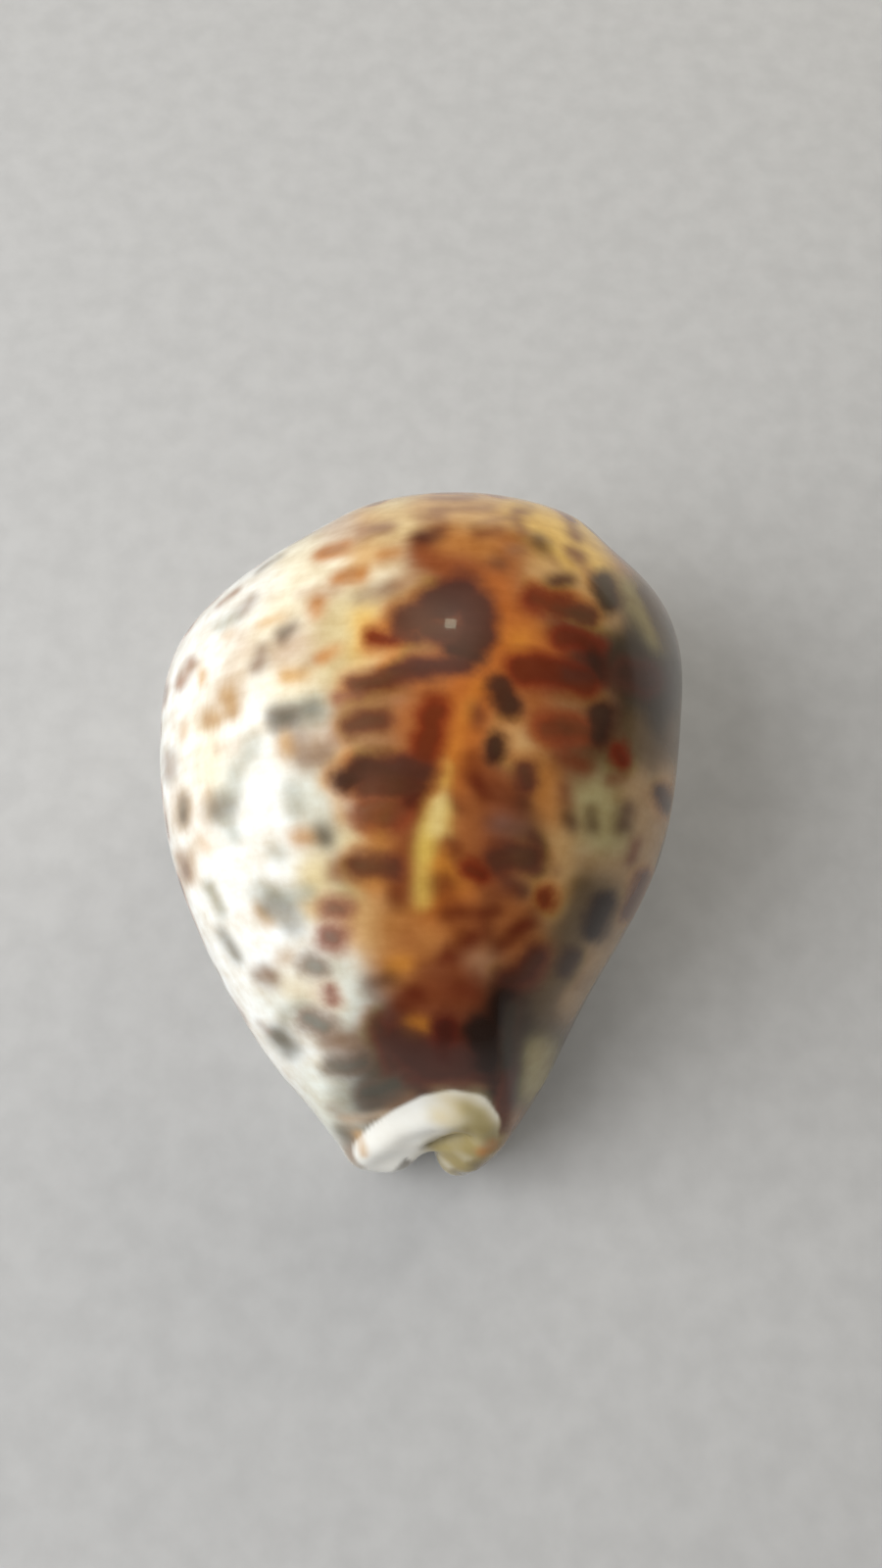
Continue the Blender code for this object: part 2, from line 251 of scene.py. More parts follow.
def path_distance(points, path):
    """How far each point is from a path of straight runs."""
    nearest = np.full(points.shape[:-1], np.inf)
    for start, end in zip(path, path[1:]):
        run = end - start
        share = np.clip((points - start) @ run / (run @ run), 0.0, 1.0)
        nearest = np.minimum(nearest, np.linalg.norm(points - start - share[..., None] * run, axis=-1))
    return nearest


class Surface:
    """The smooth surface that the cage describes.

    down runs from 0 at the top, over the widest line and the lips, to the chamber's roof. around
    runs from 0 at the front crown over the right side to 1 at the front crown again.
    """

    def __init__(self):
        self.cage = build_cage()
        self.last = len(self.cage) - 3.0
        self.columns = self.cage.shape[1]
        self.lip = 1.0 + (DOME_ROWS - 1) + len(OUTER_RINGS)
        self.scale = np.ones(3)
        self.shift = np.zeros(3)
        self.fit_to_size()

    def raw(self, down, around):
        row = np.clip(np.floor(down).astype(int), 0, int(self.last) - 1)
        place = np.mod(around, 1.0) * self.columns
        column = np.floor(place).astype(int)
        row_weights = spline_weights(down - row)
        column_weights = spline_weights(place - column)
        total = np.zeros(down.shape + (3,))
        for i in range(4):
            for j in range(4):
                weight = row_weights[..., i] * column_weights[..., j]
                total += weight[..., None] * self.cage[row + i, (column + j - 1) % self.columns]
        return total

    def fit_to_size(self):
        """Scale and place the cage so that the finished shell has the driving sizes."""
        rows, places = np.linspace(0.0, self.lip, 120), np.arange(400) / 400.0
        down, around = np.meshgrid(rows, places, indexing="ij")
        size = np.array((WIDTH, LENGTH, HEIGHT))
        for _ in range(3):
            points = self.at(down, around).reshape(-1, 3)
            low, high = points.min(0), points.max(0)
            ratio = size / (high - low)
            middle = 0.5 * (low + high) * (1.0, 1.0, 0.0)
            self.scale = self.scale * ratio
            self.shift = (self.shift - middle) * ratio

    def plain(self, down, around):
        """A point before the teeth and the worn base."""
        return self.raw(down, around) * self.scale + self.shift

    def normal(self, down, around):
        above = np.maximum(down - NORMAL_STEP, 0.0)
        below = np.minimum(down + NORMAL_STEP, self.last)
        turn = NORMAL_STEP / self.columns
        along_down = self.plain(below, around) - self.plain(above, around)
        along_around = self.plain(down, around + turn) - self.plain(down, around - turn)
        normal = np.cross(along_down, along_around)
        return normal / np.maximum(np.linalg.norm(normal, axis=-1, keepdims=True), 1e-9)

    def tooth(self, down, y):
        """Height of the teeth: 0 away from the lips."""
        low, high = TOOTH_ROOM
        phase = (y - low) / (high - low) * TEETH_PER_LIP
        ridge = (0.5 + 0.5 * np.cos(2.0 * math.pi * phase)) ** TOOTH_SHARPNESS
        ends = smooth_step(low - 1.0, low + 1.5, y) * (1.0 - smooth_step(high - 1.5, high + 1.0, y))
        rise = smooth_step(*TOOTH_RISE, down - self.lip)
        fall = 1.0 - smooth_step(*TOOTH_FALL, down - self.lip)
        return TOOTH_HEIGHT * (ridge - TOOTH_SUNK) * ends * rise * fall

    def at(self, down, around):
        points = self.plain(down, around)
        lift = self.tooth(down, points[..., 1])
        outside = 1.0 - smooth_step(self.lip - 0.6, self.lip + 0.2, down)
        for relief in RELIEFS:
            near = path_distance(points, np.array(relief.path)) / relief.width
            lift = lift + outside * relief.height * np.exp(-near ** 2)
        points = points + self.normal(down, around) * lift[..., None]
        points[..., 2] = np.maximum(points[..., 2], 0.0)
        return points


# Facet sizes of the dense mesh, in millimetres, and the rings down between which the dome's become the
# base's. The lip's are given in rings from the lip's middle line.
DOME_FACET = 0.44
BASE_FACET = 0.52
LIP_FACET = 0.27
INSIDE_FACET = 1.5
DOME_TO_BASE = (7.5, 8.5)
BASE_TO_LIP = (-1.2, -0.9)
LIP_TO_INSIDE = (1.0, 2.0)

# The camera as fitted to the photograph's outline: degrees, millimetres, and pixels of the frame
PHOTO_SIZE = (900, 1600)
PHOTO_FOCAL = 1326.0
CAMERA_ELEVATION = 72.13
CAMERA_AZIMUTH = -0.47
CAMERA_ROLL = 2.76
CAMERA_DISTANCE = 148.21
CAMERA_TARGET = np.array((2.86, 4.55, 15.0))

# Pigments: the enamel's colours, as linear red, green and blue
PIGMENTS = {
    "white": (0.92, 0.91, 0.85),
    "pearl": (0.70, 0.70, 0.60),
    "cream": (0.86, 0.78, 0.58),
    "butter": (0.80, 0.66, 0.36),
    "hay": (0.62, 0.50, 0.27),
    "straw": (0.82, 0.52, 0.13),
    "gold": (0.84, 0.60, 0.13),
    "tan": (0.62, 0.37, 0.15),
    "sand": (0.50, 0.32, 0.16),
    "moss": (0.46, 0.38, 0.18),
    "fern": (0.28, 0.22, 0.090),
    "blush": (0.60, 0.45, 0.32),
    "clay": (0.34, 0.17, 0.085),
    "ginger": (0.50, 0.20, 0.050),
    "orange": (0.46, 0.130, 0.022),
    "amber": (0.72, 0.28, 0.030),
    "copper": (0.38, 0.125, 0.034),
    "brick": (0.27, 0.072, 0.022),
    "russet": (0.19, 0.050, 0.018),
    "rust": (0.130, 0.020, 0.006),
    "wine": (0.062, 0.011, 0.006),
    "umber": (0.085, 0.030, 0.018),
    "bark": (0.070, 0.024, 0.016),
    "ink": (0.036, 0.016, 0.011),
    "pitch": (0.018, 0.008, 0.005),
    "plum": (0.19, 0.090, 0.060),
    "mauve": (0.27, 0.175, 0.115),
    "mist": (0.16, 0.145, 0.11),
    "silver": (0.40, 0.39, 0.31),
    "slate": (0.085, 0.075, 0.055),
    "soot": (0.050, 0.034, 0.020),
    "olive": (0.150, 0.095, 0.045),
}

# Ground between the marks: pigment, reach in photo pixels, and the places of its middle line
GROUNDS = (
    ("white", 34, (185, 700), (182, 800), (205, 900), (245, 1000), (290, 1080)),
    ("white", 30, (255, 600), (225, 660), (262, 790), (255, 880), (270, 970)),
    ("cream", 22, (205, 740), (215, 790)),
    ("cream", 18, (240, 690), (262, 645), (300, 610)),
    ("blush", 12, (282, 668), (300, 655)),
    ("cream", 16, (300, 580), (320, 565)),
    ("blush", 9, (335, 545), (360, 535)),
    ("butter", 12, (390, 524), (410, 518)),
    ("hay", 15, (345, 635), (350, 675), (330, 695)),
    ("straw", 7, (368, 634), (364, 668)),
    ("cream", 14, (290, 700), (320, 700)),
    ("tan", 9, (370, 572), (400, 572)),
    ("cream", 9, (388, 582), (402, 577)),
    ("tan", 10, (372, 530), (440, 512), (500, 507)),
    ("tan", 9, (480, 530), (500, 531)),
    ("ginger", 12, (460, 558), (500, 552), (490, 568)),
    ("brick", 10, (430, 572), (470, 576), (500, 580)),
    ("sand", 9, (400, 598), (424, 592)),
    ("straw", 18, (545, 520), (575, 540), (585, 552), (606, 568)),
    ("tan", 10, (545, 582), (592, 606), (588, 590)),
    ("copper", 11, (520, 556), (530, 585), (525, 598)),
    ("clay", 12, (628, 558), (642, 572)),
    ("olive", 8, (655, 592), (668, 616)),
    ("fern", 7, (640, 595), (655, 628), (668, 655)),
    ("sand", 8, (608, 632), (626, 634)),
    # painted shade: the dark right flank, turned away from the light, over its own soft dark spots
    ("soot", 26, (640, 665), (655, 705), (622, 672)),
    ("soot", 10, (672, 735), (680, 700)),
    ("olive", 9, (648, 735), (655, 755)),
    ("orange", 12, (506, 592), (517, 615), (522, 640), (512, 665), (495, 690), (478, 712), (468, 745)),
    ("amber", 8, (524, 650), (532, 655)),
    ("orange", 8, (545, 660), (562, 664)),
    ("copper", 12, (415, 708), (425, 700)),
    ("copper", 12, (410, 735), (418, 755)),
    ("clay", 9, (345, 722), (395, 718)),
    ("clay", 10, (350, 756), (392, 757)),
    ("blush", 12, (318, 770), (330, 760)),
    ("pearl", 16, (318, 804), (322, 832)),
    ("butter", 7, (350, 858), (364, 862)),
    ("ginger", 8, (372, 860), (396, 860)),
    ("brick", 10, (416, 850), (412, 900)),
    ("ginger", 8, (372, 905), (392, 902)),
    ("orange", 10, (478, 745), (468, 775), (462, 800)),
    ("copper", 14, (472, 850), (478, 830), (470, 880)),
    ("brick", 12, (500, 850), (500, 900)),
    ("brick", 16, (505, 800), (515, 830)),
    ("tan", 9, (528, 748), (530, 768)),
    ("clay", 12, (590, 714), (612, 716)),
    ("copper", 12, (540, 735), (545, 722)),
    ("ginger", 11, (554, 795), (556, 835)),
    ("tan", 13, (563, 860), (570, 890), (562, 920)),
    ("moss", 15, (606, 812), (622, 845), (612, 858)),
    ("sand", 10, (650, 835), (664, 862)),
    ("sand", 9, (652, 792), (643, 805)),
    ("olive", 14, (600, 765), (655, 775)),
    ("sand", 9, (686, 790), (682, 850), (668, 893)),
    ("olive", 8, (690, 740), (686, 775)),
    ("sand", 11, (600, 872), (622, 885)),
    ("olive", 12, (592, 905), (578, 945)),
    ("orange", 11, (466, 908), (448, 932)),
    ("ginger", 11, (436, 950), (430, 965)),
    ("amber", 7, (450, 880), (464, 900)),
    ("tan", 14, (376, 935), (380, 960)),
    ("ginger", 16, (396, 940), (394, 965), (405, 982)),
    ("copper", 12, (420, 960), (428, 980)),
    ("copper", 14, (505, 922), (540, 925)),
    ("clay", 11, (500, 972), (488, 985)),
    ("copper", 16, (490, 945), (522, 965)),
    ("brick", 20, (450, 1000), (440, 1025), (470, 1025)),
    ("pearl", 13, (350, 990), (355, 1015), (352, 1038)),
    ("butter", 9, (320, 888), (318, 925)),
    ("moss", 7, (350, 908), (358, 912)),
    ("cream", 14, (292, 1006), (308, 1015)),
    ("pearl", 14, (285, 1030), (270, 1020)),
    ("mauve", 12, (345, 1062), (362, 1068)),
    ("bark", 22, (400, 1060), (430, 1085)),
    ("pitch", 24, (495, 1040), (500, 1085)),
    ("rust", 14, (455, 1050), (450, 1080)),
    ("slate", 16, (385, 1100), (400, 1115), (375, 1125)),
    ("pearl", 15, (315, 1095), (330, 1125), (345, 1145)),
    ("soot", 9, (520, 1050), (530, 1035)),
    ("moss", 8, (545, 1110), (546, 1075)),
    ("sand", 8, (575, 1020), (608, 975), (652, 905), (668, 880)),
    ("olive", 9, (555, 1030), (572, 1010), (588, 992)),
    ("clay", 7, (525, 1145), (515, 1165)),
    ("mauve", 7, (352, 1150), (360, 1170)),
)

# Soft marks deep in the enamel: pigment, half width and softness in photo pixels, strength, and the
# places of the middle line
SOFT_MARKS = (
    # the top band, from left to right
    ("clay", 7, 5, 0.85, (370, 543), (384, 540), (398, 538)),
    ("plum", 4, 3, 0.6, (380, 541), (394, 539)),
    ("clay", 4, 4, 0.75, (440, 507), (460, 509), (482, 506)),
    ("clay", 3, 3, 0.7, (440, 521), (470, 520), (500, 519)),
    ("clay", 2.5, 2.5, 0.6, (480, 538), (505, 530), (525, 528)),
    ("clay", 9, 7, 0.7, (432, 530), (446, 528)),
    ("russet", 9, 6, 0.9, (426, 552), (438, 548), (450, 543)),
    ("bark", 6, 5, 0.8, (430, 549), (447, 546)),
    ("russet", 6, 5, 0.75, (488, 546), (500, 543), (510, 542)),
    ("russet", 6, 5, 0.75, (527, 522), (538, 522)),
    ("russet", 6, 5, 0.75, (528, 534), (534, 544)),
    ("umber", 8, 5, 0.9, (548, 552), (556, 559)),
    ("clay", 5, 4, 0.75, (562, 569), (566, 574)),
    ("russet", 5, 4, 0.8, (578, 524), (584, 532)),
    ("russet", 5, 4, 0.85, (583, 543), (590, 549)),
    ("russet", 7, 5, 0.85, (582, 564), (592, 570)),
    ("umber", 7, 5, 0.75, (506, 572), (514, 575)),
    ("clay", 5, 4, 0.7, (522, 561), (534, 560)),
    ("brick", 9, 7, 0.75, (428, 566), (450, 574), (482, 580)),
    ("umber", 8, 5, 0.9, (564, 595), (573, 592), (580, 593)),
    ("brick", 6, 5, 0.6, (600, 583), (606, 600)),
    ("ginger", 8, 4, 1.0, (326, 568), (340, 562), (352, 558)),
    ("clay", 4, 3, 0.6, (334, 564), (348, 559)),
    ("ginger", 8, 4, 1.0, (345, 591), (356, 588), (368, 586)),
    ("clay", 4, 4, 0.5, (350, 588), (360, 586)),
    ("ginger", 6, 5, 0.85, (390, 568), (404, 565)),
    ("ginger", 9, 5, 1.0, (322, 622), (325, 610)),
    ("blush", 5, 5, 0.8, (306, 607), (325, 603), (345, 602)),
    ("mauve", 7, 6, 0.75, (366, 610), (384, 604), (402, 598)),
    ("clay", 7, 6, 0.65, (408, 597), (428, 590)),
    # the left shoulder
    ("mauve", 8, 5, 0.85, (286, 650), (293, 645), (298, 640)),
    ("mist", 5, 4, 0.6, (288, 647), (296, 642)),
    ("tan", 5, 4, 0.75, (264, 637), (276, 633), (290, 630)),
    ("blush", 14, 10, 0.6, (240, 692), (252, 655)),
    ("mauve", 7, 5, 0.9, (262, 680), (266, 672), (268, 664)),
    ("ginger", 7, 4, 0.95, (326, 674), (335, 669), (342, 664)),
    ("tan", 8, 4, 1.0, (290, 690), (300, 689), (310, 687)),
    ("mauve", 5, 5, 0.45, (310, 682), (318, 676)),
    ("clay", 5.5, 4, 0.9, (183, 700), (189, 688), (196, 676)),
    ("tan", 5, 4, 0.8, (206, 696), (208, 684)),
    ("mauve", 5.5, 5, 0.8, (243, 627), (250, 620), (258, 611)),
    ("silver", 7, 6, 0.7, (224, 640), (238, 630)),
    ("tan", 4, 4, 0.6, (230, 650), (235, 645)),
    ("clay", 2.4, 2, 0.8, (222, 619), (232, 610), (244, 601)),
    ("olive", 2.4, 2, 0.6, (262, 584), (275, 574), (288, 566)),
    ("sand", 13, 7, 1.0, (214, 735), (230, 726), (234, 708)),
    ("tan", 5, 5, 0.6, (187, 752), (186, 742)),
    ("silver", 13, 8, 0.85, (292, 732), (308, 726), (326, 724)),
    ("mist", 11, 8, 0.85, (286, 733), (300, 731), (316, 724)),
    ("mauve", 14, 8, 0.85, (304, 758), (312, 772), (328, 770)),
    ("tan", 7, 6, 0.7, (292, 752), (294, 768)),
    ("clay", 8, 7, 0.7, (345, 715), (375, 712), (410, 709)),
    ("clay", 5, 5, 0.55, (336, 748), (352, 746)),
    ("tan", 5, 4, 0.85, (372, 668), (404, 666)),
    ("clay", 5, 4, 0.85, (412, 664), (446, 660)),
    # beside the great bars
    ("silver", 11, 7, 0.8, (296, 808), (302, 824)),
    ("tan", 9, 6, 0.85, (304, 853), (314, 854)),
    ("ginger", 6, 5, 0.5, (304, 851), (310, 858)),
    ("tan", 7, 6, 0.75, (344, 812), (345, 840)),
    ("tan", 8, 7, 0.85, (332, 797), (342, 780), (352, 768)),
    ("mist", 10, 6, 0.9, (328, 850), (331, 857)),
    ("clay", 11, 7, 1.0, (342, 890), (350, 882), (362, 880)),
    ("tan", 7, 6, 0.65, (312, 922), (320, 928)),
    ("brick", 10, 7, 0.75, (414, 852), (411, 880), (410, 908)),
    # the left flank
    ("mauve", 7, 5, 0.75, (173, 772), (173, 792)),
    ("tan", 10, 5, 0.75, (186, 816), (187, 838)),
    ("slate", 6.5, 4, 0.8, (187, 816), (187, 837)),
    ("tan", 8, 6, 0.6, (212, 815), (212, 834)),
    ("mist", 14, 7, 0.85, (222, 826), (230, 820)),
    ("silver", 11, 8, 0.8, (236, 806), (246, 784), (258, 758)),
    ("silver", 9, 7, 0.75, (232, 842), (238, 852)),
    ("blush", 6, 5, 0.55, (222, 765), (240, 760)),
    ("tan", 7, 5, 0.65, (204, 860), (214, 866)),
    ("tan", 9, 5, 0.75, (187, 874), (191, 896)),
    ("mauve", 6.5, 4, 0.9, (187, 875), (190, 894)),
    ("silver", 7, 5, 0.7, (278, 868), (288, 872)),
    ("tan", 6, 5, 0.75, (264, 928), (276, 942)),
    ("silver", 10, 6, 0.9, (264, 909), (286, 912), (312, 912)),
    ("mist", 12, 6, 0.75, (276, 925), (290, 932), (298, 942)),
    ("silver", 6, 4, 0.85, (212, 904), (219, 918), (226, 931)),
    ("mist", 6, 4, 0.75, (226, 951), (234, 964), (242, 978)),
    ("mauve", 9.5, 5, 0.95, (267, 993), (273, 996), (278, 999)),
    ("blush", 7, 6, 0.75, (286, 978), (296, 977)),
    ("silver", 8, 6, 0.8, (292, 1036), (308, 1027)),
    ("mist", 11, 5, 1.0, (284, 1056), (290, 1062), (296, 1070)),
    ("mauve", 3, 2.5, 0.75, (264, 1044), (274, 1054)),
    ("mauve", 9, 7, 0.8, (334, 1064), (362, 1060)),
    ("silver", 9, 7, 0.65, (345, 1110), (352, 1122)),
    ("mauve", 5, 4, 0.55, (338, 1130), (346, 1137)),
    ("mist", 8, 6, 0.75, (349, 1153), (354, 1164)),
    ("tan", 4, 3, 0.6, (366, 1156), (370, 1177)),
    # the field right of the bright line
    ("russet", 10, 5, 0.9, (485, 722), (488, 734)),
    ("rust", 9, 6, 0.75, (482, 772), (485, 788)),
    ("rust", 9, 6, 0.85, (488, 798), (493, 812)),
    ("rust", 8, 5, 0.8, (465, 816), (467, 823)),
    ("rust", 8, 5, 0.85, (460, 862), (463, 873)),
    ("rust", 11, 5, 0.9, (449, 900), (456, 904)),
    ("russet", 12, 8, 0.8, (512, 812), (528, 818)),
    ("russet", 6, 5, 0.6, (498, 836), (508, 842)),
    ("umber", 10, 7, 0.8, (532, 820), (543, 840), (549, 862), (546, 884)),
    ("plum", 13, 9, 0.7, (512, 842), (528, 848)),
    ("umber", 10, 5, 0.9, (522, 902), (532, 908)),
    ("russet", 15, 8, 0.9, (574, 776), (592, 784)),
    ("russet", 8, 6, 0.8, (576, 800), (578, 818)),
    ("umber", 7, 4, 0.75, (579, 834), (583, 844)),
    ("olive", 8, 5, 0.9, (603, 830), (604, 842)),
    ("umber", 9, 5, 0.85, (639, 828), (637, 842)),
    ("russet", 6, 5, 0.8, (649, 860), (643, 878)),
    ("russet", 6, 4, 0.75, (622, 798), (634, 792)),
    ("olive", 22, 9, 0.8, (612, 912), (604, 944)),
    ("olive", 10, 7, 0.7, (588, 972), (572, 992)),
    ("russet", 6, 5, 0.6, (566, 890), (560, 878)),
    # the red-brown field below
    ("rust", 11, 5, 0.95, (459, 932), (468, 932)),
    ("rust", 9, 5, 0.8, (488, 934), (504, 928)),
    ("russet", 8, 6, 0.8, (500, 914), (522, 910)),
    ("rust", 10, 5, 0.95, (478, 960), (494, 950)),
    ("rust", 10, 5, 0.95, (454, 976), (468, 966)),
    ("rust", 10, 5, 0.9, (510, 966), (530, 950), (546, 938)),
    ("rust", 9, 5, 0.8, (403, 910), (407, 920)),
    ("amber", 8, 7, 0.6, (400, 986), (414, 982)),
    ("umber", 11, 7, 0.7, (380, 1004), (394, 998)),
    ("rust", 12, 6, 0.95, (412, 1018), (426, 1016)),
    ("rust", 14, 9, 0.75, (462, 1012), (480, 1006)),
    ("russet", 10, 8, 0.8, (440, 1035), (470, 1034)),
    ("russet", 8, 7, 0.6, (432, 990), (452, 994)),
    ("amber", 8, 6, 0.85, (422, 1046), (430, 1048)),
    ("clay", 3, 3, 0.7, (438, 1108), (466, 1104), (496, 1108)),
    ("blush", 5, 4, 0.8, (352, 1141), (374, 1141), (396, 1137)),
    ("clay", 6, 5, 0.6, (400, 1128), (420, 1118)),
)

# Dark marks with crisper edges: pigment, half width in photo pixels, strength, middle line
DARK_MARKS = (
    # the great blotch beside the line, and its tails
    ("bark", 24, 0.97, (450, 616), (470, 608)),
    ("bark", 23, 0.95, (484, 620), (486, 645)),
    ("ink", 17, 0.92, (478, 655), (486, 652)),
    ("bark", 19, 0.93, (412, 634), (436, 627)),
    ("umber", 18, 0.93, (436, 640), (462, 646)),
    ("ink", 15, 0.93, (466, 663), (482, 668)),
    ("rust", 10, 0.95, (382, 651), (400, 652)),
    ("umber", 11, 0.93, (404, 645), (424, 649)),
    ("bark", 11, 0.95, (404, 686), (440, 682), (478, 677)),
    ("umber", 12, 0.9, (364, 699), (384, 694), (412, 689)),
    ("plum", 6, 0.75, (346, 713), (366, 703)),
    ("umber", 12, 0.84, (358, 740), (374, 736), (390, 734)),
    ("rust", 18, 0.92, (443, 726), (439, 745), (432, 768)),
    ("slate", 10, 0.5, (282, 735), (294, 732)),
    # right of the line
    ("rust", 14, 0.92, (544, 611), (556, 616), (572, 620)),
    ("bark", 11, 0.88, (570, 621), (586, 624), (600, 628)),
    ("rust", 15, 0.9, (574, 650), (590, 652), (604, 660)),
    ("rust", 20, 0.95, (532, 684), (552, 685), (580, 690), (600, 694)),
    ("bark", 14, 0.85, (578, 688), (600, 690)),
    ("ink", 13, 0.8, (604, 666), (612, 690)),
    ("ink", 14, 0.92, (511, 699), (514, 711), (520, 720)),
    ("russet", 18, 0.95, (556, 744), (596, 745)),
    ("rust", 15, 0.92, (562, 742), (576, 745)),
    ("ink", 9, 0.6, (572, 742), (580, 746)),
    ("ink", 17, 0.92, (612, 730), (611, 748)),
    ("soot", 13, 0.95, (616, 594), (620, 606), (622, 614)),
    ("bark", 16, 0.6, (636, 684), (662, 694)),
    ("ink", 5, 0.6, (656, 604), (668, 628), (677, 656)),
    ("ink", 12, 0.93, (507, 760), (508, 768)),
    ("umber", 12, 0.92, (537, 786), (538, 800)),
    ("umber", 18, 0.9, (512, 878), (526, 872), (538, 874)),
    ("ink", 9, 0.6, (508, 878), (524, 874)),
    ("rust", 12, 0.92, (478, 886), (492, 892)),
    ("rust", 9, 0.88, (555, 913), (556, 921)),
    ("rust", 11, 0.95, (631, 765), (633, 774)),
    ("ink", 9, 0.9, (676, 808), (681, 822)),
    ("pitch", 13, 0.92, (618, 922), (612, 934), (606, 948)),
    ("ink", 11, 0.8, (583, 976), (576, 988)),
    # painted shade along the right edge, where the surface turns from the light
    ("umber", 8, 0.88, (658, 896), (640, 932)),
    ("bark", 15, 0.92, (520, 1000), (536, 992), (548, 978)),
    # left of the line: the two great bars and the bars below them
    ("umber", 18, 0.92, (374, 802), (416, 802)),
    ("russet", 20, 0.88, (376, 828), (402, 828)),
    ("ink", 15, 0.95, (354, 793), (370, 784)),
    ("bark", 19, 0.95, (372, 787), (400, 787), (428, 785)),
    ("wine", 15, 0.93, (392, 806), (408, 806), (420, 800)),
    ("wine", 10, 0.92, (421, 812), (414, 822)),
    ("umber", 12, 0.7, (372, 836), (396, 838)),
    ("umber", 11, 0.7, (366, 826), (390, 822)),
    ("rust", 8, 0.8, (386, 840), (402, 842)),
    ("umber", 13, 0.84, (366, 884), (382, 883), (400, 884)),
    ("plum", 13, 0.86, (338, 926), (346, 927)),
    ("plum", 13, 0.88, (337, 957), (343, 959)),
    ("mist", 12, 0.8, (317, 984), (322, 987)),
    ("plum", 7.5, 0.84, (334, 1011), (338, 1021)),
    ("mist", 13, 0.9, (314, 1040), (324, 1045), (332, 1048)),
    ("slate", 11, 0.8, (338, 1087), (352, 1090), (368, 1084)),
    # the dark front, above the white collar
    ("slate", 14, 0.8, (374, 1116), (388, 1112), (402, 1106)),
    ("umber", 14, 0.8, (386, 1046), (394, 1066), (400, 1088)),
    ("bark", 24, 0.85, (410, 1064), (440, 1085), (470, 1084)),
    ("wine", 15, 0.92, (456, 1048), (450, 1074)),
    ("pitch", 21, 0.94, (492, 1052), (494, 1082)),
    ("pitch", 15, 0.85, (516, 1014), (508, 1040)),
    ("soot", 13, 0.85, (524, 1028), (518, 1060), (516, 1085)),
    ("umber", 9, 0.85, (412, 1098), (450, 1092), (490, 1094)),
    ("umber", 8, 0.9, (518, 1092), (515, 1122), (513, 1148)),
)

# The bright line down the back, as soft marks that don't wander
LINE_MARKS = (
    ("amber", 6, 6, 0.35, (488, 700), (478, 718), (469, 745), (460, 772)),
    ("gold", 6, 4, 0.8, (453, 782), (449, 796)),
    ("gold", 9, 5, 0.88, (447, 802), (443, 822), (438, 846), (434, 866)),
    ("gold", 8, 5, 0.8, (450, 822), (450, 844)),
    ("butter", 7, 5, 0.5, (447, 812), (446, 830), (445, 846)),
    ("gold", 7, 5, 0.8, (434, 862), (431, 884), (431, 906), (432, 920)),
)

# The orange glow round the dark marks, and its strength by pigment. The other pigments have none.
RIM = (0.56, 0.20, 0.040)
RIM_STRENGTH = {"rust": 0.75, "umber": 0.60, "bark": 0.80, "ink": 0.50, "plum": 0.30}

# The white collar and the white lobes of the front notch: half width in photo pixels, and middle line.
# The collar's marks are given as the soft marks are; some are painted shade, on the collar's right end, on
# its right lobe and in its crease.
COLLAR = (
    (17, (378, 1174), (392, 1160), (412, 1147), (436, 1135), (462, 1130), (484, 1134), (493, 1146)),
    (17, (388, 1184), (402, 1168), (422, 1156)),
    (16, (450, 1180), (474, 1168), (492, 1158)),
    (13, (424, 1172), (442, 1160), (466, 1154), (486, 1150)),
)
COLLAR_MARKS_AND_SHADE = (
    # a cream tint and painted shade over the collar's right end, darker where the roll turns from the light
    ("butter", 16, 12, 0.75, (458, 1132), (480, 1134), (492, 1148)),
    ("moss", 13, 9, 0.75, (476, 1132), (486, 1138), (486, 1152)),
    # painted shade on the right lobe, which faces down and away from the light
    ("moss", 24, 6, 0.95, (456, 1184), (474, 1174), (490, 1166)),
    ("fern", 18, 10, 0.6, (462, 1186), (480, 1174), (494, 1168)),
    ("tan", 4, 3, 0.55, (366, 1156), (371, 1178)),
    # painted shade: a dark line in the crease under the collar's curl
    ("fern", 4, 4, 0.8, (438, 1168), (456, 1161), (476, 1154)),
    ("ginger", 6, 4, 0.7, (493, 1174), (502, 1168)),
)

# A wander adds up so many waves. Size of the waves and reach in mm, and a seed: of the marks' places, so
# that none is drawn too neatly, and of the soft marks' thickness, with its weight
WAVES = 10
WANDERS = ((6.0, 0.20, 3), (2.4, 0.20, 5))
PATCHES = (2.6, 0.35, 8)
PATCH_WEIGHT = 0.5
# Facing is 1 where a point looks straight at the camera. From how much the photograph shows a point, and
# between which values distances change over from space to the photograph
SEEN_FACING = 0.03
TURNING = (0.02, 0.12)
# How fast a ground colour fades beyond its reach, and the rounds in which painted colours bleed
GROUND_FADE = 2.2
GROUND_BLEED = 8
MARK_BLEED = 3
# The fade of a soft mark's edge, as shares of its softness and of its half width
SOFT_FADE = (0.8, 0.45)
# The blur of a dark mark's edge, in mm: at least, for each mm of half width, and at most
EDGE_BLUR = (0.40, 0.32, 1.0)
# Over which distance, in mm, dark marks that touch mix their colours and join their edges
MIX_REACH = 0.35
JOIN_REACH = 0.16
# In mm from an edge, less than 0 outside it: where a dark mark's glow rises, where the collar turns white
# and where it takes no shade or mark, and the longest distance kept
GLOW = (-1.5, 0.2)
COLLAR_EDGE = (-0.35, 0.25)
COLLAR_BARE = (-0.35, 0.15)
KEPT_DISTANCE = 3.0
# Heights in mm over which the flanks' marks begin, and over which the white base ends
MARKED_FROM = (5.0, 10.0)
WHITE_UP_TO = (2.0, 8.0)

# Spots at random on the flanks and the rear, where the photograph shows none: their pigments, the facing
# and height that bound them, and in mm the least and the spread of their room, half width and strength
HIDDEN_PIGMENTS = ("umber", "plum", "mist", "ink")
HIDDEN_FACING = 0.10
HIDDEN_LOWEST = 6.5
HIDDEN_ROOM = (3.6, 2.0)
HIDDEN_HALF = (0.6, 0.9)
HIDDEN_STRENGTH = (0.35, 0.55)
HIDDEN_SEED = 11

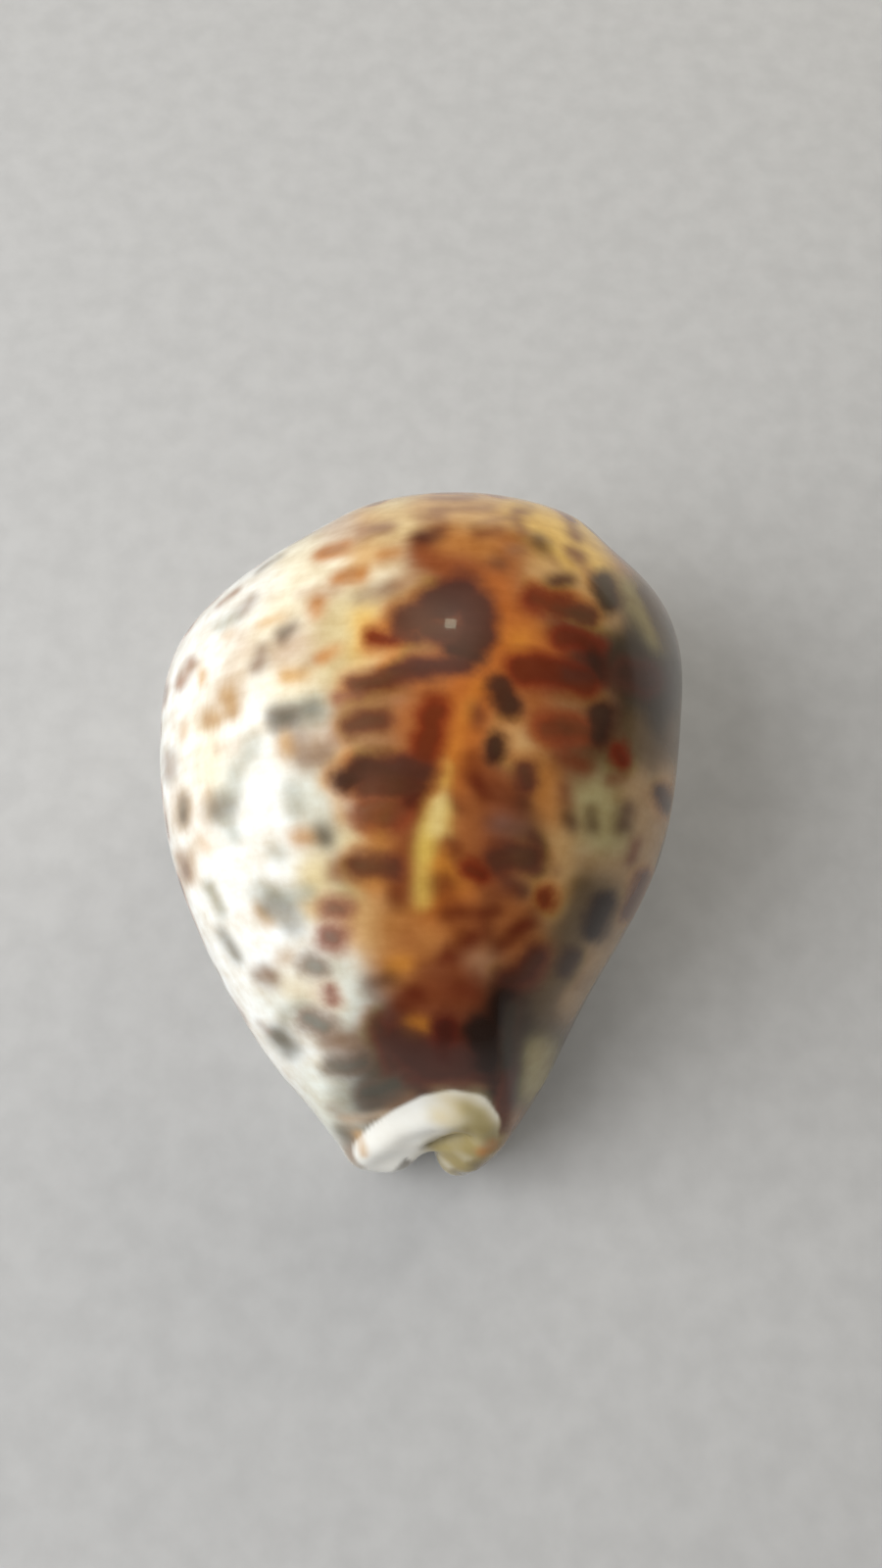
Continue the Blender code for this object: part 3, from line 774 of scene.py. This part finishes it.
# The enamel's shade, from noise: its base, its three parts, its power in each colour, and how much of it
# the white collar and the dark marks take
SHADE_BASE = 0.27
STREAKS = 0.45
MOTTLES = 0.8
GRAINS = 0.12
TONE_POWERS = (("Red", 0.6), ("Green", 0.85), ("Blue", 1.2))
COLLAR_TONE = 0.2
MARK_TONE = 0.6
# How far noise moves the dark marks' edges, in mm, and how much wider the blur is outside an edge
COARSE_EDGE = 0.9
FINE_EDGE = 0.35
OUTER_BLUR = 1.2
# A dark mark is warmer at its edge: the tint there, and the depths in mm over which it goes
EDGE_TINT = (1.5, 1.1, 1.0, 1.0)
EDGE_DEPTH = (0.1, 1.3)

# Lights: place and size in metres, watts, colour, whether the panel fades towards its edges, and whether
# the glaze mirrors it
Panel = namedtuple("Panel", "name place size watts colour fades mirrored")
PANELS = (
    Panel("fill", (-0.36, -0.07, 0.33), (0.44, 0.44), 2.6, (0.98, 0.99, 1.0), False, False),
    Panel("window", (-0.50, 0.0, 0.10), (0.40, 0.24), 0.8, (0.97, 0.98, 0.94), True, True),
    Panel("haze", (-0.03, 0.34, 0.42), (0.38, 0.38), 0.50, (1.0, 0.95, 0.82), True, True),
    Panel("back", (0.20, 0.40, 0.26), (0.30, 0.30), 0.85, (1.0, 0.95, 0.85), False, False),
    Panel("lamp", (0.002, 0.362, 0.401), (0.026, 0.026), 0.02, (0.9, 1.0, 0.75), False, True),
)
PANEL_AIM = (0.0, 0.0, 0.02)
# How far in from its edges such a panel is at its full strength, as a share of its size
PANEL_FADE = 0.42
# The room's light: its colour, its strength, and the strength that glossy surfaces mirror
ROOM_COLOUR = (1.0, 0.97, 0.92, 1.0)
ROOM_LIGHT = 0.30
ROOM_MIRRORED = 0.06
# Half the floor's side, in metres
FLOOR_HALF = 1.2


def place_camera():
    """The camera's place and its right, up and forward directions, in millimetres."""
    up_angle = math.radians(CAMERA_ELEVATION)
    turn = math.radians(CAMERA_AZIMUTH)
    level = math.cos(up_angle)
    back = np.array((-math.sin(turn) * level, -math.cos(turn) * level, math.sin(up_angle)))
    right = np.cross(-back, (0.0, 0.0, 1.0))
    right /= np.linalg.norm(right)
    up = np.cross(right, -back)
    roll = math.radians(CAMERA_ROLL)
    rolled_right = right * math.cos(roll) + up * math.sin(roll)
    rolled_up = -right * math.sin(roll) + up * math.cos(roll)
    return CAMERA_TARGET + CAMERA_DISTANCE * back, rolled_right, rolled_up, -back


def even_places(surface, down, facet):
    """Places around one row, about a facet apart."""
    around = np.linspace(0.0, 1.0, 2401)
    points = surface.plain(np.full(around.shape, down), around)
    length = np.concatenate(([0.0], np.cumsum(np.linalg.norm(np.diff(points, axis=0), axis=1))))
    count = max(12, int(round(length[-1] / facet)))
    return np.interp(np.arange(count) / count * length[-1], length, around)


def row_plan(surface):
    """How far down each row lies, and the facet size along it."""
    down = np.linspace(0.0, surface.last, 4001)
    widest = np.zeros(len(down) - 1)
    for around in (0.02, 0.2, 0.3, 0.5, 0.7, 0.8):
        line = surface.plain(down, np.full(down.shape, around))
        widest = np.maximum(widest, np.linalg.norm(np.diff(line, axis=0), axis=1))
    middle = 0.5 * (down[1:] + down[:-1])
    knots = list(DOME_TO_BASE) + [surface.lip + step for step in BASE_TO_LIP + LIP_TO_INSIDE]
    sizes = (DOME_FACET, BASE_FACET, BASE_FACET, LIP_FACET, LIP_FACET, INSIDE_FACET)
    facet = np.interp(middle, knots, sizes)
    length = np.concatenate(([0.0], np.cumsum(widest / facet)))
    count = int(round(length[-1]))
    rows = np.interp(np.arange(1, count) / count * length[-1], length, down)
    return [(row, float(np.interp(row, middle, facet))) for row in rows]


def join_rows(upper, lower):
    """Triangles between two closed rows, given as (places, first vertex)."""
    (up_places, up_first), (low_places, low_first) = upper, lower
    up_count, low_count = len(up_places), len(low_places)
    faces = []
    i, j = 0, 0
    while i < up_count or j < low_count:
        here_up, here_low = up_first + i % up_count, low_first + j % low_count
        next_up = up_places[i + 1] if i + 1 < up_count else 1.0 + up_places[0]
        next_low = low_places[j + 1] if j + 1 < low_count else 1.0 + low_places[0]
        if j >= low_count or (i < up_count and next_up <= next_low):
            i += 1
            faces.append((here_up, here_low, up_first + i % up_count))
        else:
            j += 1
            faces.append((here_up, here_low, low_first + j % low_count))
    return faces


def build_mesh(surface):
    """The dense shell: its mesh, its points in mm, their normals, and how far down each lies."""
    rows, downs, arounds = [], [0.0], [0.0]
    first = 1
    for down, facet in row_plan(surface):
        places = even_places(surface, down, facet)
        rows.append((places, first))
        first += len(places)
        downs.extend([down] * len(places))
        arounds.extend(places)
    downs.append(surface.last)
    arounds.append(0.0)
    downs, arounds = np.array(downs), np.array(arounds)
    points = surface.at(downs, arounds)
    faces = []
    for upper, lower in zip(rows, rows[1:]):
        faces.extend(join_rows(upper, lower))
    for pole, (places, start), outward in ((0, rows[0], True), (first, rows[-1], False)):
        count = len(places)
        for i in range(count):
            here, after = start + i, start + (i + 1) % count
            faces.append((pole, here, after) if outward else (pole, after, here))
    data = bpy.data.meshes.new("dressed_shell")
    data.from_pydata((points * MM).tolist(), [], faces)
    data.update()
    data.shade_smooth()
    normals = np.zeros(3 * len(points))
    data.vertices.foreach_get("normal", normals)
    return data, points, normals.reshape(-1, 3), downs


class Painter:
    """Carries places in the photograph onto the shell and measures how far each point is from them."""

    def __init__(self, points, normals, outside):
        self.points = points
        self.warped = points + sum(wander(points, *waves) for waves in WANDERS)
        eye, right, up, forward = place_camera()
        self.view = (eye, right, up, forward)
        away = points - eye
        self.depth = away @ forward
        facing = -np.sum(away * normals, axis=1) / np.linalg.norm(away, axis=1)
        self.frame = self.project(points)
        # where the surface turns away, a drift in space would look too large across the photograph
        drift = (self.project(self.warped) - self.frame) * np.clip(facing, 0.0, 1.0)[:, None] ** 1.5
        self.warped_frame = self.frame + drift
        self.facing = np.where(outside, facing, -1.0)
        self.seen = np.flatnonzero(self.facing > SEEN_FACING)
        self.turned = 1.0 - smooth_step(*TURNING, self.facing)
        self.patchy = 1.0 + PATCH_WEIGHT * wander(points, *PATCHES)[:, 0]

    def project(self, points):
        eye, right, up, forward = self.view
        away = points - eye
        depth = away @ forward
        across = 0.5 * PHOTO_SIZE[0] + PHOTO_FOCAL * (away @ right) / depth
        below = 0.5 * PHOTO_SIZE[1] - PHOTO_FOCAL * (away @ up) / depth
        return np.stack((across, below), 1)

    def find(self, place):
        """The point that the photograph shows at a place, and its millimetres per pixel."""
        nearest = self.seen[np.argmin(np.sum((self.frame[self.seen] - place) ** 2, axis=1))]
        return self.points[nearest], self.depth[nearest] / PHOTO_FOCAL

    def distance(self, places, warped=True):
        """How far each point is from a line through places, in mm, and the line's millimetres per pixel.

        Where the surface faces the camera the distance is taken across the photograph, so that a mark
        keeps its shape there. Where the surface turns away it is taken through space.
        """
        found = [self.find(place) for place in places]
        path = np.array([point for point, _ in found])
        flat = np.array(places, float)
        if len(path) == 1:
            path = np.concatenate((path, path + 0.01))
            flat = np.concatenate((flat, flat + 0.1))
        scale = found[0][1]
        near = path_distance(self.warped if warped else self.points, path)
        across = path_distance(self.warped_frame if warped else self.frame, flat) * scale
        return across + self.turned * (near - across), scale


def wander(points, size, reach, seed):
    """A smooth wandering of about the given reach, over waves of about the given size."""
    rng = np.random.default_rng(seed)
    total = np.zeros(points.shape)
    for _ in range(WAVES):
        wave = rng.normal(size=3)
        wave *= 2.0 * math.pi / (size * rng.uniform(0.7, 1.6) * np.linalg.norm(wave))
        push = rng.normal(size=3)
        total += np.sin(points @ wave + rng.uniform(0.0, 2.0 * math.pi))[:, None] * push
    return reach * total / math.sqrt(1.5 * WAVES)


def paint_ground(painter):
    """The enamel's colour at each point, blended from its patches, with painted shade on the dark right
    flank.
    """
    total = np.full(painter.depth.shape, 1e-9)
    colour = total[:, None] * np.array(PIGMENTS["white"])
    for name, reach, *places in GROUNDS:
        distance, scale = painter.distance(places)
        share = np.exp(-GROUND_FADE * distance / (reach * scale))
        total = total + share
        colour = colour + share[:, None] * np.array(PIGMENTS[name])
    return colour / total[:, None]


def soften(data, colour, rounds):
    """Lets the painted colours bleed into their neighbours."""
    ends = np.zeros(2 * len(data.edges), np.int32)
    data.edges.foreach_get("vertices", ends)
    ends = np.concatenate((ends, ends.reshape(-1, 2)[:, ::-1].ravel()))
    here, there = ends[0::2], ends[1::2]
    neighbours = np.bincount(here, minlength=len(colour))[:, None]
    for _ in range(rounds):
        sums = [np.bincount(here, channel[there], len(colour)) for channel in colour.T]
        colour = 0.5 * colour + 0.5 * np.stack(sums, 1) / neighbours
    return colour


def lay(colour, pigment, cover):
    """Lays a pigment over the colour of each point."""
    return colour + cover[:, None] * (np.array(pigment) - colour)


def lay_marks(painter, colour, marks, limit, warped=True):
    """Lays soft marks over the colour of each point, one after another."""
    for name, half, soft, strength, *places in marks:
        distance, scale = painter.distance(places, warped)
        fade = (SOFT_FADE[0] * soft + SOFT_FADE[1] * half) * scale
        cover = smooth_step(-fade, fade, half * scale - distance) * painter.patchy
        colour = lay(colour, PIGMENTS[name], np.minimum(strength * cover, 1.0) * limit)
    return colour


def hidden_marks(painter, points, outside):
    """Small spots over the flanks and the rear that the photograph does not show."""
    rng = np.random.default_rng(HIDDEN_SEED)
    unseen = outside & (painter.facing < HIDDEN_FACING)
    chosen = []
    for index in rng.permutation(np.flatnonzero(unseen & (points[:, 2] > HIDDEN_LOWEST))):
        point = points[index]
        room = HIDDEN_ROOM[0] + HIDDEN_ROOM[1] * rng.random()
        if all(np.linalg.norm(point - other) > room for other, _ in chosen):
            chosen.append((point, rng.random()))
    marks = []
    for point, pick in chosen:
        name = HIDDEN_PIGMENTS[int(pick * len(HIDDEN_PIGMENTS))]
        half = HIDDEN_HALF[0] + HIDDEN_HALF[1] * rng.random()
        stretch = half * rng.normal(size=3)
        path = np.array((point - 0.5 * stretch, point + 0.5 * stretch))
        marks.append((name, half, HIDDEN_STRENGTH[0] + HIDDEN_STRENGTH[1] * rng.random(), path))
    return marks


def edge_blur(half):
    """How soft a dark mark's edge is, in mm: the wider the mark, the softer."""
    least, growth, most = EDGE_BLUR
    return min(most, least + growth * half)


def dark_marks(painter, points, outside):
    """The dark marks: pigment, strength, blur of the edge, and how deep inside each point lies, in mm."""
    marks = []
    for name, half, strength, *places in DARK_MARKS:
        distance, scale = painter.distance(places)
        marks.append((name, strength, edge_blur(half * scale), half * scale - distance))
    for name, half, strength, path in hidden_marks(painter, points, outside):
        marks.append((name, strength, edge_blur(half), half - path_distance(painter.warped, path)))
    return marks


def lay_rims(colour, marks, limit):
    """The orange glow round the dark marks. It tints the pale ground and never lightens a dark one."""
    for name, strength, _, inside in marks:
        cover = RIM_STRENGTH.get(name, 0.0) * strength * smooth_step(*GLOW, inside)
        colour = np.minimum(colour, lay(colour, RIM, cover * limit))
    return colour


def blend_marks(marks, count):
    """For each point: how deep inside a dark mark it lies, and the marks' colour, strength and blur."""
    depth = np.full(count, -KEPT_DISTANCE)
    mass = np.full(count, 1e-6)
    colour = np.zeros((count, 3))
    values = np.zeros((count, 3))
    for name, strength, soft, inside in marks:
        share = np.exp(np.clip(inside, -4.0, 1.0) / MIX_REACH)
        mass += share
        colour += share[:, None] * np.array(PIGMENTS[name])
        values += share[:, None] * np.array((strength, soft, 0.0))
        depth = np.logaddexp(depth / JOIN_REACH, inside / JOIN_REACH) * JOIN_REACH
    depth = np.clip(depth, -KEPT_DISTANCE, KEPT_DISTANCE)
    return depth, colour / mass[:, None], values / mass[:, None]


def collar_depth(painter):
    """How deep inside the white collar and the white lobes each point lies, in mm."""
    depth = np.full(painter.depth.shape, -KEPT_DISTANCE)
    for half, *places in COLLAR:
        distance, scale = painter.distance(places, warped=False)
        depth = np.maximum(depth, half * scale - distance)
    return np.minimum(depth, KEPT_DISTANCE)


def set_values(data, name, values):
    kind = "FLOAT_COLOR" if values.ndim == 2 else "FLOAT"
    attribute = data.attributes.new(name, kind, "POINT")
    if values.ndim == 2:
        if values.shape[1] == 3:
            values = np.concatenate((values, np.ones((len(values), 1))), axis=1)
        attribute.data.foreach_set("color", values.astype(np.float32).ravel())
    else:
        attribute.data.foreach_set("value", values.astype(np.float32).ravel())


class Nodes:
    """Short calls for the nodes of a material, a light or a world."""

    def __init__(self, owner):
        owner.use_nodes = True
        self.tree = owner.node_tree

    def add(self, kind, **settings):
        node = self.tree.nodes.new(kind)
        for key, value in settings.items():
            setattr(node, key, value)
        return node

    def link(self, source, target):
        self.tree.links.new(source, target)

    def feed(self, socket, value):
        if isinstance(value, bpy.types.NodeSocket):
            self.link(value, socket)
        else:
            socket.default_value = value

    def attribute(self, name, output="Fac"):
        return self.add("ShaderNodeAttribute", attribute_name=name).outputs[output]

    def noise(self, scale, detail, offset=0.0, roughness=0.5, stretch=(1.0, 1.0, 1.0)):
        """Noise in the object's own metres: scale in lumps per metre."""
        mapping = self.add("ShaderNodeMapping")
        mapping.inputs["Scale"].default_value = stretch
        mapping.inputs["Location"].default_value = (offset, 0.7 * offset, 1.3 * offset)
        self.link(self.add("ShaderNodeTexCoord").outputs["Object"], mapping.inputs["Vector"])
        node = self.add("ShaderNodeTexNoise")
        self.link(mapping.outputs["Vector"], node.inputs["Vector"])
        node.inputs["Scale"].default_value = scale
        node.inputs["Detail"].default_value = detail
        node.inputs["Roughness"].default_value = roughness
        return node.outputs["Fac"]

    def math(self, operation, first, second=None, third=None):
        node = self.add("ShaderNodeMath", operation=operation)
        for socket, value in zip(node.inputs, (first, second, third)):
            if value is not None:
                self.feed(socket, value)
        return node.outputs[0]

    def ramp(self, value, low, high, start=0.0, end=1.0):
        node = self.add("ShaderNodeMapRange", interpolation_type="SMOOTHSTEP")
        for socket, setting in zip(node.inputs, (value, low, high, start, end)):
            self.feed(socket, setting)
        return node.outputs["Result"]

    def mix(self, factor, first, second, blend="MIX"):
        node = self.add("ShaderNodeMix", data_type="RGBA", blend_type=blend)
        self.feed(node.inputs[0], factor)
        self.feed(node.inputs[6], first)
        self.feed(node.inputs[7], second)
        return node.outputs[2]


def new_material(name):
    """A material with its node calls and its shader."""
    material = bpy.data.materials.new(name)
    n = Nodes(material)
    return material, n, n.tree.nodes["Principled BSDF"]


def enamel_shade(n, mottle):
    """A grey close to white that varies with streaks, mottles and grains, a little browner where darker."""
    streak = n.noise(1.0, 3.0, stretch=(110.0, 620.0, 110.0))
    grain = n.noise(1300.0, 4.0, offset=9.0, roughness=0.6)
    shade = n.math("MULTIPLY_ADD", streak, STREAKS, SHADE_BASE)
    shade = n.math("MULTIPLY_ADD", mottle, MOTTLES, shade)
    shade = n.math("MULTIPLY_ADD", grain, GRAINS, shade)
    tone = n.add("ShaderNodeCombineColor")
    for name, power in TONE_POWERS:
        n.link(n.math("POWER", shade, power), tone.inputs[name])
    return tone.outputs[0]


def marked_enamel(n, tone):
    """The painted ground, with its painted shade, under the dark marks, whose edges are bled and broken up
    by noise.
    """
    patterned = n.ramp(n.attribute("collar"), *COLLAR_BARE, 1.0, 0.0)
    toned = n.math("MULTIPLY_ADD", patterned, 1.0 - COLLAR_TONE, COLLAR_TONE)
    ground = n.mix(toned, n.attribute("ground", "Color"), tone, "MULTIPLY")

    values = n.add("ShaderNodeSeparateColor")
    n.link(n.attribute("mark_values", "Color"), values.inputs["Color"])
    strength, blur = values.outputs[0], values.outputs[1]
    coarse = n.math("SUBTRACT", n.noise(330.0, 3.0, offset=21.0), 0.5)
    fine = n.math("SUBTRACT", n.noise(1600.0, 3.0, offset=2.0), 0.5)
    edge = n.math("MULTIPLY_ADD", coarse, COARSE_EDGE, n.attribute("mark_depth"))
    edge = n.math("MULTIPLY_ADD", fine, FINE_EDGE, edge)
    outer = n.math("MULTIPLY", blur, -OUTER_BLUR)
    cover = n.math("MULTIPLY", n.ramp(edge, outer, blur), strength)

    pigment = n.attribute("pigment", "Color")
    warm = n.mix(1.0, pigment, EDGE_TINT, "MULTIPLY")
    inner = n.mix(n.ramp(edge, *EDGE_DEPTH), warm, pigment)
    inner = n.mix(MARK_TONE, inner, tone, "MULTIPLY")
    return n.mix(n.math("MULTIPLY", cover, patterned), ground, inner)


def enamel_material():
    """Glossy enamel: a soft painted ground, dark marks over it, and a clear glaze."""
    material, n, shader = new_material("spotted_enamel")
    mottle = n.noise(330.0, 4.0, offset=5.0)
    n.link(marked_enamel(n, enamel_shade(n, mottle)), shader.inputs["Base Color"])
    n.link(n.ramp(mottle, 0.3, 0.7, 0.20, 0.27), shader.inputs["Roughness"])
    shader.inputs["Specular IOR Level"].default_value = 0.2
    shader.inputs["Coat Weight"].default_value = 0.5
    shader.inputs["Coat Roughness"].default_value = 0.04
    shader.inputs["Coat IOR"].default_value = 1.4
    shader.inputs["IOR"].default_value = 1.5
    bump = n.add("ShaderNodeBump")
    bump.inputs["Strength"].default_value = 0.03
    bump.inputs["Distance"].default_value = 0.0006
    n.link(n.noise(110.0, 3.0, offset=13.0), bump.inputs["Height"])
    n.link(bump.outputs["Normal"], shader.inputs["Normal"])
    return material


def floor_material():
    material, n, shader = new_material("pale_floor")
    shade = n.ramp(n.noise(260.0, 5.0), 0.2, 0.8, 0.47, 0.52)
    tone = n.add("ShaderNodeCombineColor")
    for name in ("Red", "Green", "Blue"):
        n.link(shade, tone.inputs[name])
    n.link(tone.outputs[0], shader.inputs["Base Color"])
    shader.inputs["Roughness"].default_value = 0.75
    return material


def paint_shell(data, points, normals, downs, surface):
    """Stores the painted colours and the distances that the enamel material reads."""
    outside = downs < surface.lip - 0.2
    painter = Painter(points, normals, outside)
    limit = smooth_step(*MARKED_FROM, points[:, 2]) * outside
    marks = dark_marks(painter, points, outside)
    depth, pigment, values = blend_marks(marks, len(points))
    collar = collar_depth(painter)
    colour = soften(data, paint_ground(painter), GROUND_BLEED)
    colour = lay_marks(painter, colour, SOFT_MARKS, limit)
    colour = lay_marks(painter, colour, LINE_MARKS, limit, warped=False)
    colour = lay_rims(soften(data, colour, MARK_BLEED), marks, limit)
    colour = lay(colour, PIGMENTS["white"], smooth_step(*COLLAR_EDGE, collar))
    # the collar's marks, with painted shade on its right end, on its right lobe and in its crease
    colour = lay_marks(painter, colour, COLLAR_MARKS_AND_SHADE, np.ones(len(points)))
    colour = lay(colour, PIGMENTS["white"], 1.0 - smooth_step(*WHITE_UP_TO, points[:, 2]) * outside)
    values[:, 0] *= limit
    # the ground colour, with the painted shade of the right flank and of the collar's right side
    set_values(data, "ground", colour)
    set_values(data, "mark_depth", depth)
    set_values(data, "pigment", pigment)
    set_values(data, "mark_values", values)
    set_values(data, "collar", collar)


def add_object(name, data):
    item = bpy.data.objects.new(name, data)
    bpy.context.scene.collection.objects.link(item)
    return item


def build_shell():
    surface = Surface()
    data, points, normals, downs = build_mesh(surface)
    paint_shell(data, points, normals, downs, surface)
    data.materials.append(enamel_material())
    shell = add_object("spotted_shell", data)
    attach(shell, "root")
    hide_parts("shell")
    print("dressed shell triangles", len(data.polygons))


def build_floor():
    data = bpy.data.meshes.new("floor")
    corners = [(FLOOR_HALF * x, FLOOR_HALF * y, 0.0) for x, y in ((-1, -1), (1, -1), (1, 1), (-1, 1))]
    data.from_pydata(corners, [], [(0, 1, 2, 3)])
    data.materials.append(floor_material())
    add_object("floor", data)


def soft_edges(light):
    """Lets a panel light fade towards its edges, so that its reflection has no hard outline."""
    n = Nodes(light)
    split = n.add("ShaderNodeSeparateXYZ")
    n.link(n.add("ShaderNodeNewGeometry").outputs["Parametric"], split.inputs[0])
    across, along = [n.ramp(n.math("PINGPONG", split.outputs[axis], 0.5), 0.0, PANEL_FADE) for axis in "XY"]
    n.link(n.math("MULTIPLY", across, along), n.tree.nodes["Emission"].inputs["Strength"])


def add_panel(panel):
    light = bpy.data.lights.new(panel.name, "AREA")
    light.shape = "RECTANGLE"
    light.size, light.size_y = panel.size
    light.energy = panel.watts
    light.color = panel.colour
    if panel.fades:
        soft_edges(light)
    item = add_object(panel.name, light)
    item.location = panel.place
    toward = Vector(PANEL_AIM) - Vector(panel.place)
    item.rotation_euler = toward.to_track_quat("-Z", "Y").to_euler()
    item.visible_glossy = panel.mirrored


def light_room():
    """An even light from all sides, of which the glaze and the floor mirror only a little."""
    world = bpy.data.worlds.new("studio")
    n = Nodes(world)
    background = n.tree.nodes["Background"]
    background.inputs["Color"].default_value = ROOM_COLOUR
    mirrored = n.add("ShaderNodeLightPath").outputs["Is Glossy Ray"]
    n.link(n.ramp(mirrored, 0.0, 1.0, ROOM_LIGHT, ROOM_MIRRORED), background.inputs["Strength"])
    bpy.context.scene.world = world


def build_lights():
    for panel in PANELS:
        add_panel(panel)
    light_room()
    bpy.context.scene.view_settings.view_transform = "Standard"


def build_camera():
    place, right, up, forward = place_camera()
    camera = bpy.data.cameras.new("photo_camera")
    camera.sensor_fit = "AUTO"
    camera.lens = camera.sensor_width * PHOTO_FOCAL / max(PHOTO_SIZE)
    camera.clip_start = 0.005
    camera.clip_end = 10.0
    item = add_object("photo_camera", camera)
    turn = Matrix((right, up, -forward)).transposed()
    item.matrix_world = Matrix.Translation(Vector(place * MM)) @ turn.to_4x4()
    bpy.context.scene.camera = item


build_shell()
build_floor()
build_lights()
build_camera()
